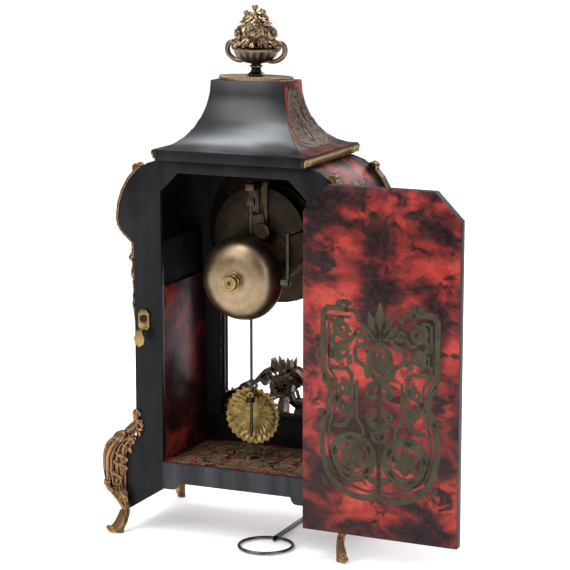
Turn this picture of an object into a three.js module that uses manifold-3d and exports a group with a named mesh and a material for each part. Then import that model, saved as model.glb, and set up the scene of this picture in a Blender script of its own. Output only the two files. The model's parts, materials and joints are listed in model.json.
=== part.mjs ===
// A bracket clock in the Louis XV boulle style: a violin-shaped wooden case on four gilt feet,
// a caddy roof with an urn of flowers, a glazed front door, a plain back door that stands open,
// and a round spring-driven movement with a short pendulum and a bell.
//
// Millimetres. +Z is up, the dial faces -Y, the back door faces +Y.
// The model is drawn with z = 0 on the surface that the clock stands on, and the whole group is
// then lowered so that the origin is the centre of the base board's underside.
// Left and right are as seen by someone who reads the dial: left is -X.

import * as THREE from 'three';
import { mergeVertices } from 'three/addons/utils/BufferGeometryUtils.js';
import Module from 'manifold-3d';

const wasm = await Module();
wasm.setup();

// ---------- Driving dimensions (mm) ----------

const clear = 0.3; // gap kept between two pieces that touch
const slack = 0.35; // radial gap round a pin or an arbor

// The wooden body
const bodyHalfDepth = 51.7;
const faceThickness = 5.7; // front and back frames
const hem = { outerX: 107, outerZ: 19, innerZ: 43 }; // sloping lower edge of a stile
const flare = { x: 116.5, lowZ: 46, highZ: 70 }; // widest place near the feet
const waist = { x: 97.5, lowZ: 90, highZ: 268 };
const shoulder = { x: 113, z: 290 }; // widest place near the dial
const neck = { x: 72, z: 344.9 }; // where the shoulder meets the cornice
const sideInnerX = 76.4;
const shoulderWall = 8;
const baseBoard = { lowZ: 56, highZ: 67.3 };
const lining = { thickness: 3, topZ: 228 };

// The back
const backOpening = { halfWidth: 70.5, topZ: 333.5, chamfer: 17 };
const backRail = { lowZ: 49, lobeDrop: 6.5, lobeWidth: 12 };
const backDoor = { halfWidth: 72.6, lowZ: 28.5, highZ: 335, chamfer: 23.7, thickness: 9 };
const backDoorOpenDeg = 178;
const backHinges = { lowZ: 128, highZ: 272, halfHeight: 12, middle: 4 };
const latch = {
  x: 87.5,
  z: 200,
  halfWidth: 5.5,
  above: 8,
  below: 24.5,
  sheet: 2,
  bendAt: 11.2,
  bendHalfWidth: 3.2,
  corner: 3,
  screwRadius: 2,
  headRadius: 3.4,
  headHeight: 1.4,
  slotWidth: 0.8,
};
const hinge = { knuckleRadius: 1.6, pinRadius: 0.8, leaf: 1.2, reach: 12, pinProud: 1 };

// The front
const frontWindow = { halfWidth: 59, lowZ: 92, archRadius: 66 };
const frontDoor = { halfWidth: 72, lowZ: 78, archRadius: 70, thickness: 9 };
const frontGlazing = { halfWidth: 57, lowZ: 96, archRadius: 62, rebate: 2.5, glass: 2, lip: 3 };
const frontHinges = { z: 183, halfHeight: 66, middle: 54 }; // one long hinge
const frontRailLowZ = 49;

// The top
const cornice = { halfWidth: 74.5, halfDepth: 61, height: 9.2, mouldingWidth: 6 };
const roof = { topHalfWidth: 36, topHalfDepth: 19, topZ: 414, wall: 6, levels: 8 };
const roofPlateHeight = 3.2;
const finial = {
  footRadius: 8,
  stemRadius: 4,
  bowlRadius: 20,
  stemZ: 426,
  bowlZ: 431,
  rimZ: 442.5,
  bouquetRise: 37.2, // from the urn's mouth to the top bud
};
const finialHandle = { reach: 30.5, lowZ: 432, highZ: 447, thickness: 2.2 };

// Mounts of gilt bronze
const foot = { toeX: 108, toeY: 63, lobeX: 123, topZ: 115 };
const cornerMount = { lowZ: 189, highZ: 266, reach: 6 };
const shoulderStrip = { thickness: 2.6, width: 10, overlap: 12, scrollRadius: 4.5 };
const windowRelief = { thickness: 6.5, topZ: 150, lowZ: 80, holeX: 38, holeRadius: 5, bossRadius: 11 };
const apronMount = { thickness: 4, halfWidth: 46, highZ: 76, lowZ: 52 };

// Dial and hands
const dialZ = 272; // height of the hand arbor
const dialRadius = 68;
const dialThickness = 1.5;
const chapter = { inner: 61.5, outer: 65, thickness: 1.2 };
const cartouche = { count: 12, radius: 52, halfWidth: 6.5, halfHeight: 8, thickness: 1.4 };
const hourHand = { length: 36, width: 7, thickness: 0.9 };
const minuteHand = { length: 53, width: 6, thickness: 0.9 };
const handStep = 1.5; // from one hand's face to the next

// Movement
const plateRadius = 45;
const plateThickness = 2;
const frontPlateY = -33; // front face of the front plate
const backPlateY = -6; // back face of the back plate
const pillarRadius = 2.4;
const pillarReach = 39;
const pivotRadius = 0.6;
const arborRadius = 0.9;
const windingRadius = 2.2;
const winderPivotRadius = 1.6;
const centreShaft = { radius: 1.9, tipRadius: 1.2 }; // behind the hands, and through them
const handPipeWall = 0.95;
const anchorPallets = { thickness: 1.2, rise: 1.6 };
const cock = { halfWidth: 9, belowDial: 4, footThickness: 2.2, armHalfWidth: 4, armHeight: 6 };
const cockBoss = { x: -7, z: 278, postRadius: 1.8, radius: 8, lowY: 2.4, highY: 5.6, eyeRadius: 2.2 };
const crutchForkZ = 294;
const crutchThickness = 1.4;
const greatWheel = { teeth: 48, pinionLeaves: 8, distance: 23.7, angleDeg: -28, drumRadius: 14.4 };
const centreWheel = { teeth: 63, pinionLeaves: 7, distance: 18, angleDeg: 120 };
const thirdWheel = { teeth: 60, pinionLeaves: 6, distance: 15.8 };
const escapeWheel = { teeth: 45, radius: 9 };
const anchorRise = 41.5; // anchor arbor above the hand arbor
const countWheelRadius = 11;

// Pendulum
const pendulumY = 12;
const rodRadius = 1.35;
const bob = { z: 109, radius: 28, depth: 7.5, wall: 1.3, rays: 26, rayDepth: 1.8 };
const suspension = { bladeHalfWidth: 2.5, bladeHalfThickness: 0.25, headHalfWidth: 3.4, headHalfDepth: 1.8 };
const ratingNutSize = { radius: 4, height: 4 };

// Bell and hammer
const bell = { x: 4.6, z: 237.4, radius: 38.5, mouthY: 19, height: 21, wall: 1.8 };
const bellPost = { x: 32, z: 251, radius: 2.4 };
const bellBoltRadius = 2;
const bellNutSize = { washerRadius: 8.8, washer: 1.2, radius: 7, waistRadius: 5.6, height: 8 };
const hammer = { x: -41.5, z: 279, headRadius: 3.6, headLength: 7.5, gap: 1.2 };

// Winding key
const key = {
  x: -32.5,
  y: 53,
  ringRadius: 24.3,
  wireRadius: 1.5,
  shaftRadius: 2.3,
  shaftEndY: -50,
  dent: 13,
  sleeveRadius: 3.2,
  sleeveLength: 14,
};

// ---------- Values that follow from them ----------

const backFaceY = bodyHalfDepth;
const frameInnerY = bodyHalfDepth - faceThickness;
const boxInnerY = frameInnerY - clear;
const floorTopZ = baseBoard.highZ;
const corniceLowZ = neck.z + clear;
const corniceHighZ = corniceLowZ + cornice.height;
const roofLowZ = corniceHighZ + clear;
const roofPlateTopZ = roof.topZ + clear + roofPlateHeight;
const doorInnerY = backFaceY + clear;
const backDoorOuterY = doorInnerY + backDoor.thickness;
const frontDoorOuterY = doorInnerY + frontDoor.thickness;
const dialBackY = -boxInnerY + dialThickness; // the dial lies against the front frame's inner face
const dialFrontY = -boxInnerY;
const backPlateInnerY = backPlateY - plateThickness;
const frontPlateInnerY = frontPlateY + plateThickness;
const anchorZ = dialZ + anchorRise;

// ---------- Solids: booleans, prisms, rods, lofts ----------

const toRadians = THREE.MathUtils.degToRad;

function positionsOnly(geometry) {
  const plain = geometry.clone();
  plain.deleteAttribute('normal');
  plain.deleteAttribute('uv');
  return mergeVertices(plain, 1e-4);
}

function toManifold(geometry) {
  const merged = positionsOnly(geometry);
  return new wasm.Manifold(new wasm.Mesh({
    numProp: 3,
    vertProperties: new Float32Array(merged.attributes.position.array),
    triVerts: new Uint32Array(merged.index.array),
  }));
}

function toGeometry(manifold) {
  const mesh = manifold.getMesh();
  const geometry = new THREE.BufferGeometry();
  geometry.setAttribute('position', new THREE.BufferAttribute(mesh.vertProperties, 3));
  geometry.setIndex(new THREE.BufferAttribute(mesh.triVerts, 1));
  return geometry;
}

function join(first, ...others) {
  return toGeometry(others.reduce((sum, next) => sum.add(toManifold(next)), toManifold(first)));
}

function cut(first, ...tools) {
  return toGeometry(tools.reduce((rest, tool) => rest.subtract(toManifold(tool)), toManifold(first)));
}

function common(first, second) {
  return toGeometry(toManifold(first).intersect(toManifold(second)));
}

// A copy mirrored in x and/or y, with its faces turned back outwards.
function mirrored(geometry, signX, signY = 1) {
  const copy = positionsOnly(geometry);
  copy.scale(signX, signY, 1);
  if (signX * signY < 0) {
    const index = copy.index.array;
    for (let i = 0; i < index.length; i += 3) {
      [index[i], index[i + 1]] = [index[i + 1], index[i]];
    }
  }
  return copy;
}

// A flat outline in (x, z), given its thickness from lowY to highY.
function slab(outline, lowY, highY, curveSegments = 8) {
  const shape = outline instanceof THREE.Shape ? outline : new THREE.Shape(outline);
  const depth = highY - lowY;
  const geometry = new THREE.ExtrudeGeometry(shape, { depth, bevelEnabled: false, curveSegments });
  return geometry.rotateX(Math.PI / 2).translate(0, highY, 0);
}

// Points from [x, z] pairs, moved by (x, z).
function pointsAt(pairs, x = 0, z = 0) {
  return pairs.map(([dx, dz]) => new THREE.Vector2(x + dx, z + dz));
}

// A closed outline from its right half, listed from the top down, and the mirrored left half.
function symmetricPoints(rightHalf, z = 0) {
  const left = rightHalf.slice(1, -1).reverse().map(([x, dz]) => [-x, dz]);
  return pointsAt([...rightHalf, ...left], 0, z).reverse();
}

function block(lowX, highX, lowY, highY, lowZ, highZ) {
  const geometry = new THREE.BoxGeometry(highX - lowX, highY - lowY, highZ - lowZ);
  return geometry.translate((lowX + highX) / 2, (lowY + highY) / 2, (lowZ + highZ) / 2);
}

function rodY(radius, lowY, highY, x, z, sides = 12) {
  const geometry = new THREE.CylinderGeometry(radius, radius, highY - lowY, sides);
  return geometry.translate(x, (lowY + highY) / 2, z);
}

function rodZ(radius, lowZ, highZ, x, y, sides = 12) {
  const geometry = new THREE.CylinderGeometry(radius, radius, highZ - lowZ, sides);
  return geometry.rotateX(Math.PI / 2).translate(x, y, (lowZ + highZ) / 2);
}

function rodX(radius, lowX, highX, y, z, sides = 12) {
  const geometry = new THREE.CylinderGeometry(radius, radius, highX - lowX, sides);
  return geometry.rotateZ(Math.PI / 2).translate((lowX + highX) / 2, y, z);
}

// A solid of revolution about the y axis through (x, z). Profile points are [radius, y].
function turnedY(profile, x, z, segments) {
  const points = profile.map(([radius, y]) => new THREE.Vector2(radius, y));
  return new THREE.LatheGeometry(points, segments).translate(x, 0, z);
}

// A solid of revolution about the z axis. Profile points are [radius, z].
function turnedZ(profile, segments) {
  const points = profile.map(([radius, z]) => new THREE.Vector2(radius, z));
  return new THREE.LatheGeometry(points, segments).rotateX(Math.PI / 2);
}

// A closed skin through rings of equally many points, with a fan over each end.
function loft(rings) {
  const count = rings[0].length;
  const positions = rings.flat().flatMap((point) => [point.x, point.y, point.z]);
  const index = [];
  for (let level = 0; level < rings.length - 1; level += 1) {
    for (let i = 0; i < count; i += 1) {
      const next = (i + 1) % count;
      const low = level * count;
      const high = low + count;
      index.push(low + i, low + next, high + next, low + i, high + next, high + i);
    }
  }
  [0, rings.length - 1].forEach((level) => {
    const centre = rings[level].reduce((sum, point) => sum.add(point), new THREE.Vector3());
    centre.divideScalar(count);
    const hub = positions.length / 3;
    positions.push(centre.x, centre.y, centre.z);
    for (let i = 0; i < count; i += 1) {
      const here = level * count + i;
      const next = level * count + ((i + 1) % count);
      index.push(...(level === 0 ? [hub, next, here] : [hub, here, next]));
    }
  });
  const geometry = new THREE.BufferGeometry();
  geometry.setAttribute('position', new THREE.Float32BufferAttribute(positions, 3));
  geometry.setIndex(index);
  return geometry;
}

// A level oval ring of points, counter-clockwise seen from above.
function ovalRing(x, y, z, radiusX, radiusY, count) {
  return Array.from({ length: count }, (_, i) => {
    const angle = (2 * Math.PI * i) / count;
    return new THREE.Vector3(x + radiusX * Math.cos(angle), y + radiusY * Math.sin(angle), z);
  });
}

// A solid built of level ovals. Each station is [x, y, z, radiusX, radiusY], from low to high.
function ovalStack(stations, count) {
  return loft(stations.map(([x, y, z, radiusX, radiusY]) => ovalRing(x, y, z, radiusX, radiusY, count)));
}

// ---------- The violin outline ----------

// The right-hand edge of the body, from the opening's corner round the flare to the neck.
function sideProfile(curveSteps = 6) {
  const path = new THREE.Path();
  path.moveTo(backOpening.halfWidth, hem.innerZ);
  path.lineTo(hem.outerX, hem.outerZ);
  path.quadraticCurveTo(flare.x, (hem.outerZ + flare.lowZ) / 2, flare.x, flare.lowZ);
  path.lineTo(flare.x, flare.highZ);
  path.bezierCurveTo(flare.x - 2, flare.highZ + 10, waist.x, waist.lowZ - 12, waist.x, waist.lowZ);
  path.lineTo(waist.x, waist.highZ);
  path.bezierCurveTo(waist.x + 3, waist.highZ + 6, shoulder.x, shoulder.z - 12, shoulder.x, shoulder.z);
  const bendZ = (shoulder.z + neck.z) / 2;
  path.bezierCurveTo(shoulder.x, bendZ - 3, (shoulder.x + neck.x) / 2 + 4, neck.z - 4, neck.x, neck.z);
  return path.getPoints(curveSteps);
}

// The same line moved outwards by a distance.
function offsetLine(points, distance) {
  return points.map((point, i) => {
    const before = points[Math.max(i - 1, 0)];
    const after = points[Math.min(i + 1, points.length - 1)];
    const along = after.clone().sub(before).normalize();
    return new THREE.Vector2(point.x + along.y * distance, point.y - along.x * distance);
  });
}

const profile = sideProfile();

// The room the body takes on its right side, grown by a gap: cut from what is mounted on it.
function bodyRoom(gap) {
  const outer = offsetLine(profile, gap);
  const inner = [new THREE.Vector2(0, neck.z + gap), new THREE.Vector2(0, hem.innerZ)];
  return slab([...outer, ...inner], -bodyHalfDepth - gap, bodyHalfDepth + gap);
}

// Lower edge of a rail with a lobe at each end, from the right end to the left end.
function lobedEdge(halfWidth, railLowZ) {
  const lobeInnerX = halfWidth - backRail.lobeWidth;
  const path = new THREE.Path();
  const lobeZ = railLowZ - backRail.lobeDrop;
  path.moveTo(halfWidth, lobeZ);
  path.lineTo(lobeInnerX + 3, lobeZ);
  path.quadraticCurveTo(lobeInnerX - 2, lobeZ, lobeInnerX - 3, railLowZ);
  path.lineTo(-lobeInnerX + 3, railLowZ);
  path.quadraticCurveTo(-lobeInnerX + 2, lobeZ, -lobeInnerX - 3, lobeZ);
  path.lineTo(-halfWidth, lobeZ);
  return path.getPoints(3);
}

// ---------- Case ----------

function baseBoardSolid() {
  const halfWidth = sideInnerX - clear;
  return block(-halfWidth, halfWidth, -boxInnerY, boxInnerY, baseBoard.lowZ, baseBoard.highZ);
}

// A solid side, shaped outside like the violin and straight inside up to the waist.
function sideWall() {
  const slope = (hem.innerZ - hem.outerZ) / (hem.outerX - backOpening.halfWidth);
  const innerLowZ = hem.innerZ - (sideInnerX - backOpening.halfWidth) * slope;
  const inside = offsetLine(profile, -shoulderWall)
    .filter((point) => point.y > waist.highZ && point.x > sideInnerX && point.y < neck.z - shoulderWall);
  const outside = profile.slice(1);
  const outline = [
    new THREE.Vector2(sideInnerX, innerLowZ),
    ...outside,
    new THREE.Vector2(neck.x - shoulderWall, neck.z),
    ...inside.reverse(),
    new THREE.Vector2(sideInnerX, waist.highZ),
  ];
  return slab(outline, -boxInnerY, boxInnerY);
}

// The whole violin face with a lobed lower rail between its stiles.
function violinFace(railLowZ, lowY, highY) {
  const left = profile.map((point) => new THREE.Vector2(-point.x, point.y)).reverse();
  const edge = lobedEdge(backOpening.halfWidth, railLowZ).reverse();
  return slab([...edge, ...profile, ...left], lowY, highY);
}

// A rectangle with its two upper corners cut off, as the back door and its opening have.
function chamferedOutline(halfWidth, lowZ, highZ, chamfer) {
  return pointsAt([
    [-halfWidth, lowZ],
    [halfWidth, lowZ],
    [halfWidth, highZ - chamfer],
    [halfWidth - chamfer, highZ],
    [-halfWidth + chamfer, highZ],
    [-halfWidth, highZ - chamfer],
  ]);
}

// Stiles, top rail and bottom rail in one veneered face, with the door's opening in it.
function backFrame() {
  const { halfWidth, topZ, chamfer } = backOpening;
  const opening = chamferedOutline(halfWidth, floorTopZ, topZ, chamfer);
  const face = violinFace(backRail.lowZ, frameInnerY, backFaceY);
  return cut(face, slab(opening, frameInnerY - 1, backFaceY + 1));
}

const archSteps = 14;

// Outline of an arched opening or door: straight sides and a round head about the hand arbor.
function archedOutline(halfWidth, lowZ, archRadius) {
  const springAngle = Math.acos(Math.min(1, halfWidth / archRadius));
  const shape = new THREE.Shape();
  shape.moveTo(-halfWidth, lowZ);
  shape.lineTo(halfWidth, lowZ);
  shape.absarc(0, dialZ, archRadius, -springAngle, Math.PI + springAngle, false);
  shape.closePath();
  return shape;
}

function frontFrame() {
  const { halfWidth, lowZ, archRadius } = frontWindow;
  const face = violinFace(frontRailLowZ, -backFaceY, -frameInnerY);
  const opening = archedOutline(halfWidth, lowZ, archRadius);
  return cut(face, slab(opening, -backFaceY - 1, -frameInnerY + 1, archSteps));
}

function liningPanel() {
  const outerX = sideInnerX - clear;
  return block(outerX - lining.thickness, outerX, -boxInnerY, boxInnerY, floorTopZ + clear, lining.topZ);
}

// ---------- Cornice, roof and finial ----------

function corniceBoard() {
  const halfWidth = cornice.halfWidth - cornice.mouldingWidth - clear;
  const frontY = -cornice.halfDepth + cornice.mouldingWidth + clear;
  return block(-halfWidth, halfWidth, frontY, cornice.halfDepth, corniceLowZ, corniceHighZ);
}

// A hollow-and-round gilt moulding along the left side, the front and the right side.
function corniceMoulding() {
  const width = cornice.mouldingWidth;
  const section = [
    [width, 0],
    [width - 3.2, 0],
    [width - 2.6, 1.6],
    [width - 4.8, 3.4],
    [width - 5.6, 5.6],
    [width - 6, 7],
    [width - 6, cornice.height],
    [width, cornice.height],
  ];
  // The section's points are [inset from the outer edge, height]; each makes one U-shaped line.
  const lines = section.map(([inset, height]) => {
    const x = cornice.halfWidth - inset;
    const frontY = -cornice.halfDepth + inset;
    const z = corniceLowZ + height;
    return [
      new THREE.Vector3(-x, cornice.halfDepth, z),
      new THREE.Vector3(-x, frontY, z),
      new THREE.Vector3(x, frontY, z),
      new THREE.Vector3(x, cornice.halfDepth, z),
    ];
  });
  const rings = [3, 2, 1, 0].map((corner) => lines.map((line) => line[corner]));
  return loft(rings);
}

// One level of the concave roof, shrunk by an inset for the hollow inside.
function roofRing(step, inset) {
  const angle = (Math.PI / 2) * (1 - step / roof.levels);
  const bulge = 1 - Math.cos(angle);
  const halfWidth = roof.topHalfWidth + (cornice.halfWidth - roof.topHalfWidth) * bulge - inset;
  const halfDepth = roof.topHalfDepth + (cornice.halfDepth - roof.topHalfDepth) * bulge - inset;
  const z = roof.topZ - (roof.topZ - roofLowZ) * Math.sin(angle);
  return [
    new THREE.Vector3(-halfWidth, -halfDepth, z),
    new THREE.Vector3(halfWidth, -halfDepth, z),
    new THREE.Vector3(halfWidth, halfDepth, z),
    new THREE.Vector3(-halfWidth, halfDepth, z),
  ];
}

// The shell is one skin: up the inside, round the foot, and up the outside.
function roofShell() {
  const steps = Array.from({ length: roof.levels + 1 }, (_, i) => i);
  const outside = steps.map((step) => roofRing(step, 0));
  const inside = steps.slice(0, -1).map((step) => roofRing(step, roof.wall));
  return loft([...inside.reverse(), ...outside]);
}

// An oval plate with a low dome, resting on the roof's flat top.
function roofPlate() {
  const lowZ = roof.topZ + clear;
  const stations = [
    [0, 0, lowZ, roof.topHalfWidth, roof.topHalfDepth],
    [0, 0, lowZ + 1, roof.topHalfWidth, roof.topHalfDepth],
    [0, 0, lowZ + 0.6 * roofPlateHeight, 0.8 * roof.topHalfWidth, 0.8 * roof.topHalfDepth],
    [0, 0, roofPlateTopZ, finial.footRadius, finial.footRadius],
  ];
  return ovalStack(stations, 28);
}

function finialUrn() {
  const { footRadius, stemRadius, bowlRadius, stemZ, bowlZ, rimZ } = finial;
  const lowZ = roofPlateTopZ + clear;
  const outline = [
    [0, lowZ],
    [footRadius, lowZ],
    [footRadius - 1, lowZ + 2],
    [stemRadius, stemZ - 2],
    [stemRadius + 2, stemZ],
    [stemRadius, stemZ + 2],
    [0.62 * bowlRadius, bowlZ],
    [0.92 * bowlRadius, (bowlZ + rimZ) / 2 - 1],
    [bowlRadius, rimZ - 2],
    [bowlRadius - 1.5, rimZ],
    [0, rimZ],
  ];
  return turnedZ(outline, 18);
}

// An ear-shaped handle on the right of the urn, springing from the bowl.
function finialHandleSolid() {
  const { reach, lowZ, highZ, thickness } = finialHandle;
  const rootX = finial.bowlRadius - 2;
  const curve = new THREE.CatmullRomCurve3([
    new THREE.Vector3(rootX - 6, 0, lowZ + 1),
    new THREE.Vector3(rootX + 3, 0, lowZ),
    new THREE.Vector3(reach - thickness, 0, (lowZ + highZ) / 2),
    new THREE.Vector3(reach - 5, 0, highZ),
    new THREE.Vector3(rootX + 1, 0, highZ - 2),
    new THREE.Vector3(rootX - 3, 0, finial.rimZ - 2),
  ]);
  const section = new THREE.Shape();
  section.absellipse(0, 0, thickness, thickness, 0, 2 * Math.PI, false, 0);
  return new THREE.ExtrudeGeometry(section, { steps: 12, extrudePath: curve, curveSegments: 4 });
}

function blossom(x, y, z, radius) {
  const flower = new THREE.SphereGeometry(radius, 8, 5);
  return flower.scale(1, 0.85, 0.8).translate(x, y, z);
}

// Roses, buds and leaves packed above the urn's mouth.
function bouquet() {
  const lowZ = finial.rimZ + clear;
  const rise = finial.bouquetRise;
  const heart = ovalStack([
    [0, 0, lowZ, 12, 11],
    [0, 0, lowZ + 0.25 * rise, 17, 13],
    [0, 0, lowZ + 0.6 * rise, 12, 9],
    [0, 0, lowZ + 0.85 * rise, 4, 4],
  ], 12);
  const flowers = [
    [3, 9, 0.42, 8.5],
    [-9, 7, 0.3, 7],
    [13, 2, 0.32, 7.5],
    [-14, -1, 0.28, 6.5],
    [-4, -9, 0.42, 8],
    [9, -8, 0.32, 7],
    [-7, 1, 0.68, 6.5],
    [6, -1, 0.72, 6],
  ];
  const tips = [
    [1, 0, 1, 3.4],
    [-8, 2, 0.86, 3],
    [9, 1, 0.84, 3],
  ];
  const parts = flowers.map(([x, y, share, radius]) => blossom(x, y, lowZ + share * rise, radius));
  const buds = tips.map(([x, y, share, radius]) => (
    ovalStack([
      [0.6 * x, y, lowZ + 0.55 * rise, 1.6, 1.6],
      [x, y, lowZ + share * rise - 2 * radius, radius, radius],
      [x, y, lowZ + share * rise - 0.8 * radius, 0.8 * radius, 0.8 * radius],
      [x, y, lowZ + share * rise, 0.6, 0.6],
    ], 8)
  ));
  const bunch = join(heart, ...parts, ...buds);
  const above = block(-40, 40, -30, 30, lowZ, lowZ + rise + 1);
  const handles = join(grownHandle(1), grownHandle(-1));
  return cut(common(bunch, above), handles);
}

// The room a handle takes near the flowers.
function grownHandle(side) {
  const reach = finial.bowlRadius + 20;
  const innerX = finial.bowlRadius - 3.5 - clear;
  const room = block(innerX, reach, -8, 8, finial.rimZ - 1, finial.rimZ + finial.bouquetRise + 3);
  return mirrored(room, side);
}

// ---------- Gilt bronze mounts ----------

// A scrolled foot at the right back corner: a tall leaf, an outer lobe, a slim neck and a toe.
function footMount() {
  const { toeX, toeY, lobeX, topZ } = foot;
  const wrapY = bodyHalfDepth - 1;
  const midX = (waist.x + flare.x) / 2;
  const stations = [
    [toeX + 1, toeY + 1, 0, 7, 6.5],
    [toeX + 1.5, toeY + 1, 3, 8, 7.2],
    [toeX - 1, toeY - 3, 9, 7, 6.6],
    [toeX - 2.5, wrapY + 6, 17, 6, 6],
    [toeX - 1, wrapY + 4, 25, 6.5, 7],
    [toeX + 4, wrapY + 2, 33, 8.5, 8.5],
    [lobeX - 5, wrapY - 2, 42, 11.5, 10.5],
    [lobeX - 4, wrapY - 3, 55, 12.5, 11.5],
    [lobeX - 4, wrapY - 3, 68, 12.5, 11.5],
    [lobeX - 8, wrapY - 2, 80, 11, 10],
    [midX - 1, wrapY - 1, 90, 8.5, 8],
    [waist.x, wrapY, 101, 5.5, 5.5],
    [waist.x - 1, wrapY + 0.5, topZ, 3, 3],
  ];
  return cut(ovalStack(stations, 12), bodyRoom(clear));
}

// A slim leaf console on the body's side, close to its back edge.
function cornerConsole() {
  const { lowZ, highZ, reach } = cornerMount;
  const span = highZ - lowZ;
  const y = bodyHalfDepth - 8;
  const x = waist.x;
  const stations = [
    [x, y, lowZ, 1.5, 2],
    [x, y, lowZ + 0.12 * span, 0.5 * reach, 4],
    [x, y, lowZ + 0.3 * span, 0.75 * reach, 5.5],
    [x, y, lowZ + 0.5 * span, 0.6 * reach, 4.5],
    [x, y, lowZ + 0.66 * span, 0.95 * reach, 6.5],
    [x, y, lowZ + 0.8 * span, reach, 7],
    [x, y, lowZ + 0.93 * span, 0.7 * reach, 5],
    [x, y, highZ, 1.5, 2],
  ];
  return ovalStack(stations, 12);
}

// A flat strip that runs on from the console, round the shoulder, to a scroll at its upper end.
function shoulderStripSolid() {
  const { thickness, width, scrollRadius } = shoulderStrip;
  const lowZ = cornerMount.highZ - shoulderStrip.overlap;
  const onShoulder = (point) => point.y > lowZ && point.x > neck.x + 12;
  const near = offsetLine(profile, clear);
  const far = offsetLine(profile, clear + thickness);
  const kept = profile.map((point, i) => i).filter((i) => onShoulder(profile[i]));
  const outline = [
    new THREE.Vector2(waist.x + clear, lowZ),
    ...kept.map((i) => near[i]),
    ...kept.map((i) => far[i]).reverse(),
    new THREE.Vector2(waist.x + clear + thickness, lowZ),
  ];
  const highY = bodyHalfDepth;
  const strip = slab(outline.reverse(), highY - width, highY);
  const top = far[kept[kept.length - 1]];
  const scroll = rodY(scrollRadius, highY - width, highY, top.x - 1, top.y - 0.5, 12);
  const belowCornice = block(0, 2 * shoulder.x, -bodyHalfDepth, bodyHalfDepth + 1, 0, corniceLowZ - clear);
  return common(join(strip, scroll), belowCornice);
}

function cornerMountSolid() {
  return cut(join(cornerConsole(), shoulderStripSolid()), bodyRoom(clear));
}

// Right half of the open scrollwork that stands before the lower window, as [x, z] pairs.
function reliefOutline() {
  const { topZ, lowZ } = windowRelief;
  const right = [
    [0, topZ], [6, topZ - 2], [10, topZ - 8], [15, topZ - 10], [18, topZ - 17], [27, topZ - 19],
    [29, topZ - 25], [23, topZ - 30], [30, topZ - 33], [36, topZ - 28], [43, topZ - 27],
    [48, topZ - 33], [50, topZ - 40], [58, topZ - 38], [62, topZ - 43], [61, topZ - 52],
    [52, topZ - 58], [38, topZ - 62], [20, lowZ + 3], [0, lowZ],
  ];
  return symmetricPoints(right);
}

function windowReliefSolid() {
  const { thickness, topZ, holeX, holeRadius, bossRadius } = windowRelief;
  const innerY = -(frontDoorOuterY + clear);
  const plate = slab(reliefOutline(), innerY - thickness, innerY);
  const boss = new THREE.SphereGeometry(bossRadius, 12, 8).scale(1, 0.5, 1.3)
    .translate(0, innerY - thickness, topZ - 28);
  const holes = [-1, 1].map((side) => (
    rodY(holeRadius, innerY - thickness - 1, innerY + 1, side * holeX, topZ - 45, 10)
  ));
  return cut(join(plate, boss), ...holes);
}

function apronMountSolid() {
  const { thickness, halfWidth, highZ, lowZ } = apronMount;
  const innerY = -(bodyHalfDepth + clear);
  const outline = symmetricPoints([
    [0, highZ],
    [14, highZ - 3],
    [halfWidth, highZ - 8],
    [halfWidth + 4, highZ - 14],
    [halfWidth - 8, lowZ + 5],
    [18, lowZ + 3],
    [0, lowZ],
  ]);
  return slab(outline, innerY - thickness, innerY);
}

// ---------- Doors, hinges and latch ----------

// The hinge axis stands just off the door's edge, level with its outer face.
function hingeAxis(doorHalfWidth, doorOuterY) {
  return { x: doorHalfWidth + clear + hinge.knuckleRadius, y: doorOuterY + clear + hinge.leaf / 2 };
}

const backHinge = hingeAxis(backDoor.halfWidth, backDoorOuterY);
const frontHinge = hingeAxis(frontDoor.halfWidth, frontDoorOuterY);

// Fixed leaf: a plate on the stile, a web beside the door's edge, two end knuckles and the pin.
function fixedLeaf(axis, z, { halfHeight, middle }) {
  const { knuckleRadius, pinRadius, leaf, reach } = hinge;
  const webX = axis.x - leaf / 2;
  const plate = block(webX, webX + reach, doorInnerY, doorInnerY + leaf, z - halfHeight, z + halfHeight);
  const web = block(webX, webX + leaf, doorInnerY, axis.y, z - halfHeight, z + halfHeight);
  const ends = [-1, 1].map((side) => {
    const near = z + side * (middle + clear);
    const far = z + side * halfHeight;
    return rodZ(knuckleRadius, Math.min(near, far), Math.max(near, far), axis.x, axis.y, 12);
  });
  const gapLowY = axis.y - knuckleRadius - 2 * clear;
  const gap = block(webX - 3, webX + 4, gapLowY, axis.y + 3, z - middle - clear, z + middle + clear);
  const pinReach = halfHeight + hinge.pinProud;
  const pin = rodZ(pinRadius, z - pinReach, z + pinReach, axis.x, axis.y, 10);
  return join(cut(join(plate, web), gap), ...ends, pin);
}

// Moving leaf: a strap on the door's outer face that ends in the middle knuckle.
function movingLeaf(axis, doorHalfWidth, doorOuterY, z, { halfHeight, middle }) {
  const { knuckleRadius, pinRadius, leaf, reach } = hinge;
  const lowY = doorOuterY + clear;
  const edge = doorHalfWidth;
  const strap = block(edge - reach - 2, edge, lowY, lowY + leaf, z - halfHeight, z + halfHeight);
  const tongue = block(edge - 1, axis.x, lowY, lowY + leaf, z - middle, z + middle);
  const knuckle = rodZ(knuckleRadius, z - middle, z + middle, axis.x, axis.y, 12);
  const bore = rodZ(pinRadius + clear, z - middle - 1, z + middle + 1, axis.x, axis.y, 10);
  return cut(join(strap, tongue, knuckle), bore);
}

function backDoorPanel() {
  const { halfWidth, lowZ, highZ, chamfer } = backDoor;
  return slab(chamferedOutline(halfWidth, lowZ, highZ, chamfer), doorInnerY, backDoorOuterY);
}

// The light of the front door, grown on all sides.
function glazingOutline(grow) {
  const { halfWidth, lowZ, archRadius } = frontGlazing;
  return archedOutline(halfWidth + grow, lowZ - grow, archRadius + grow);
}

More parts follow.
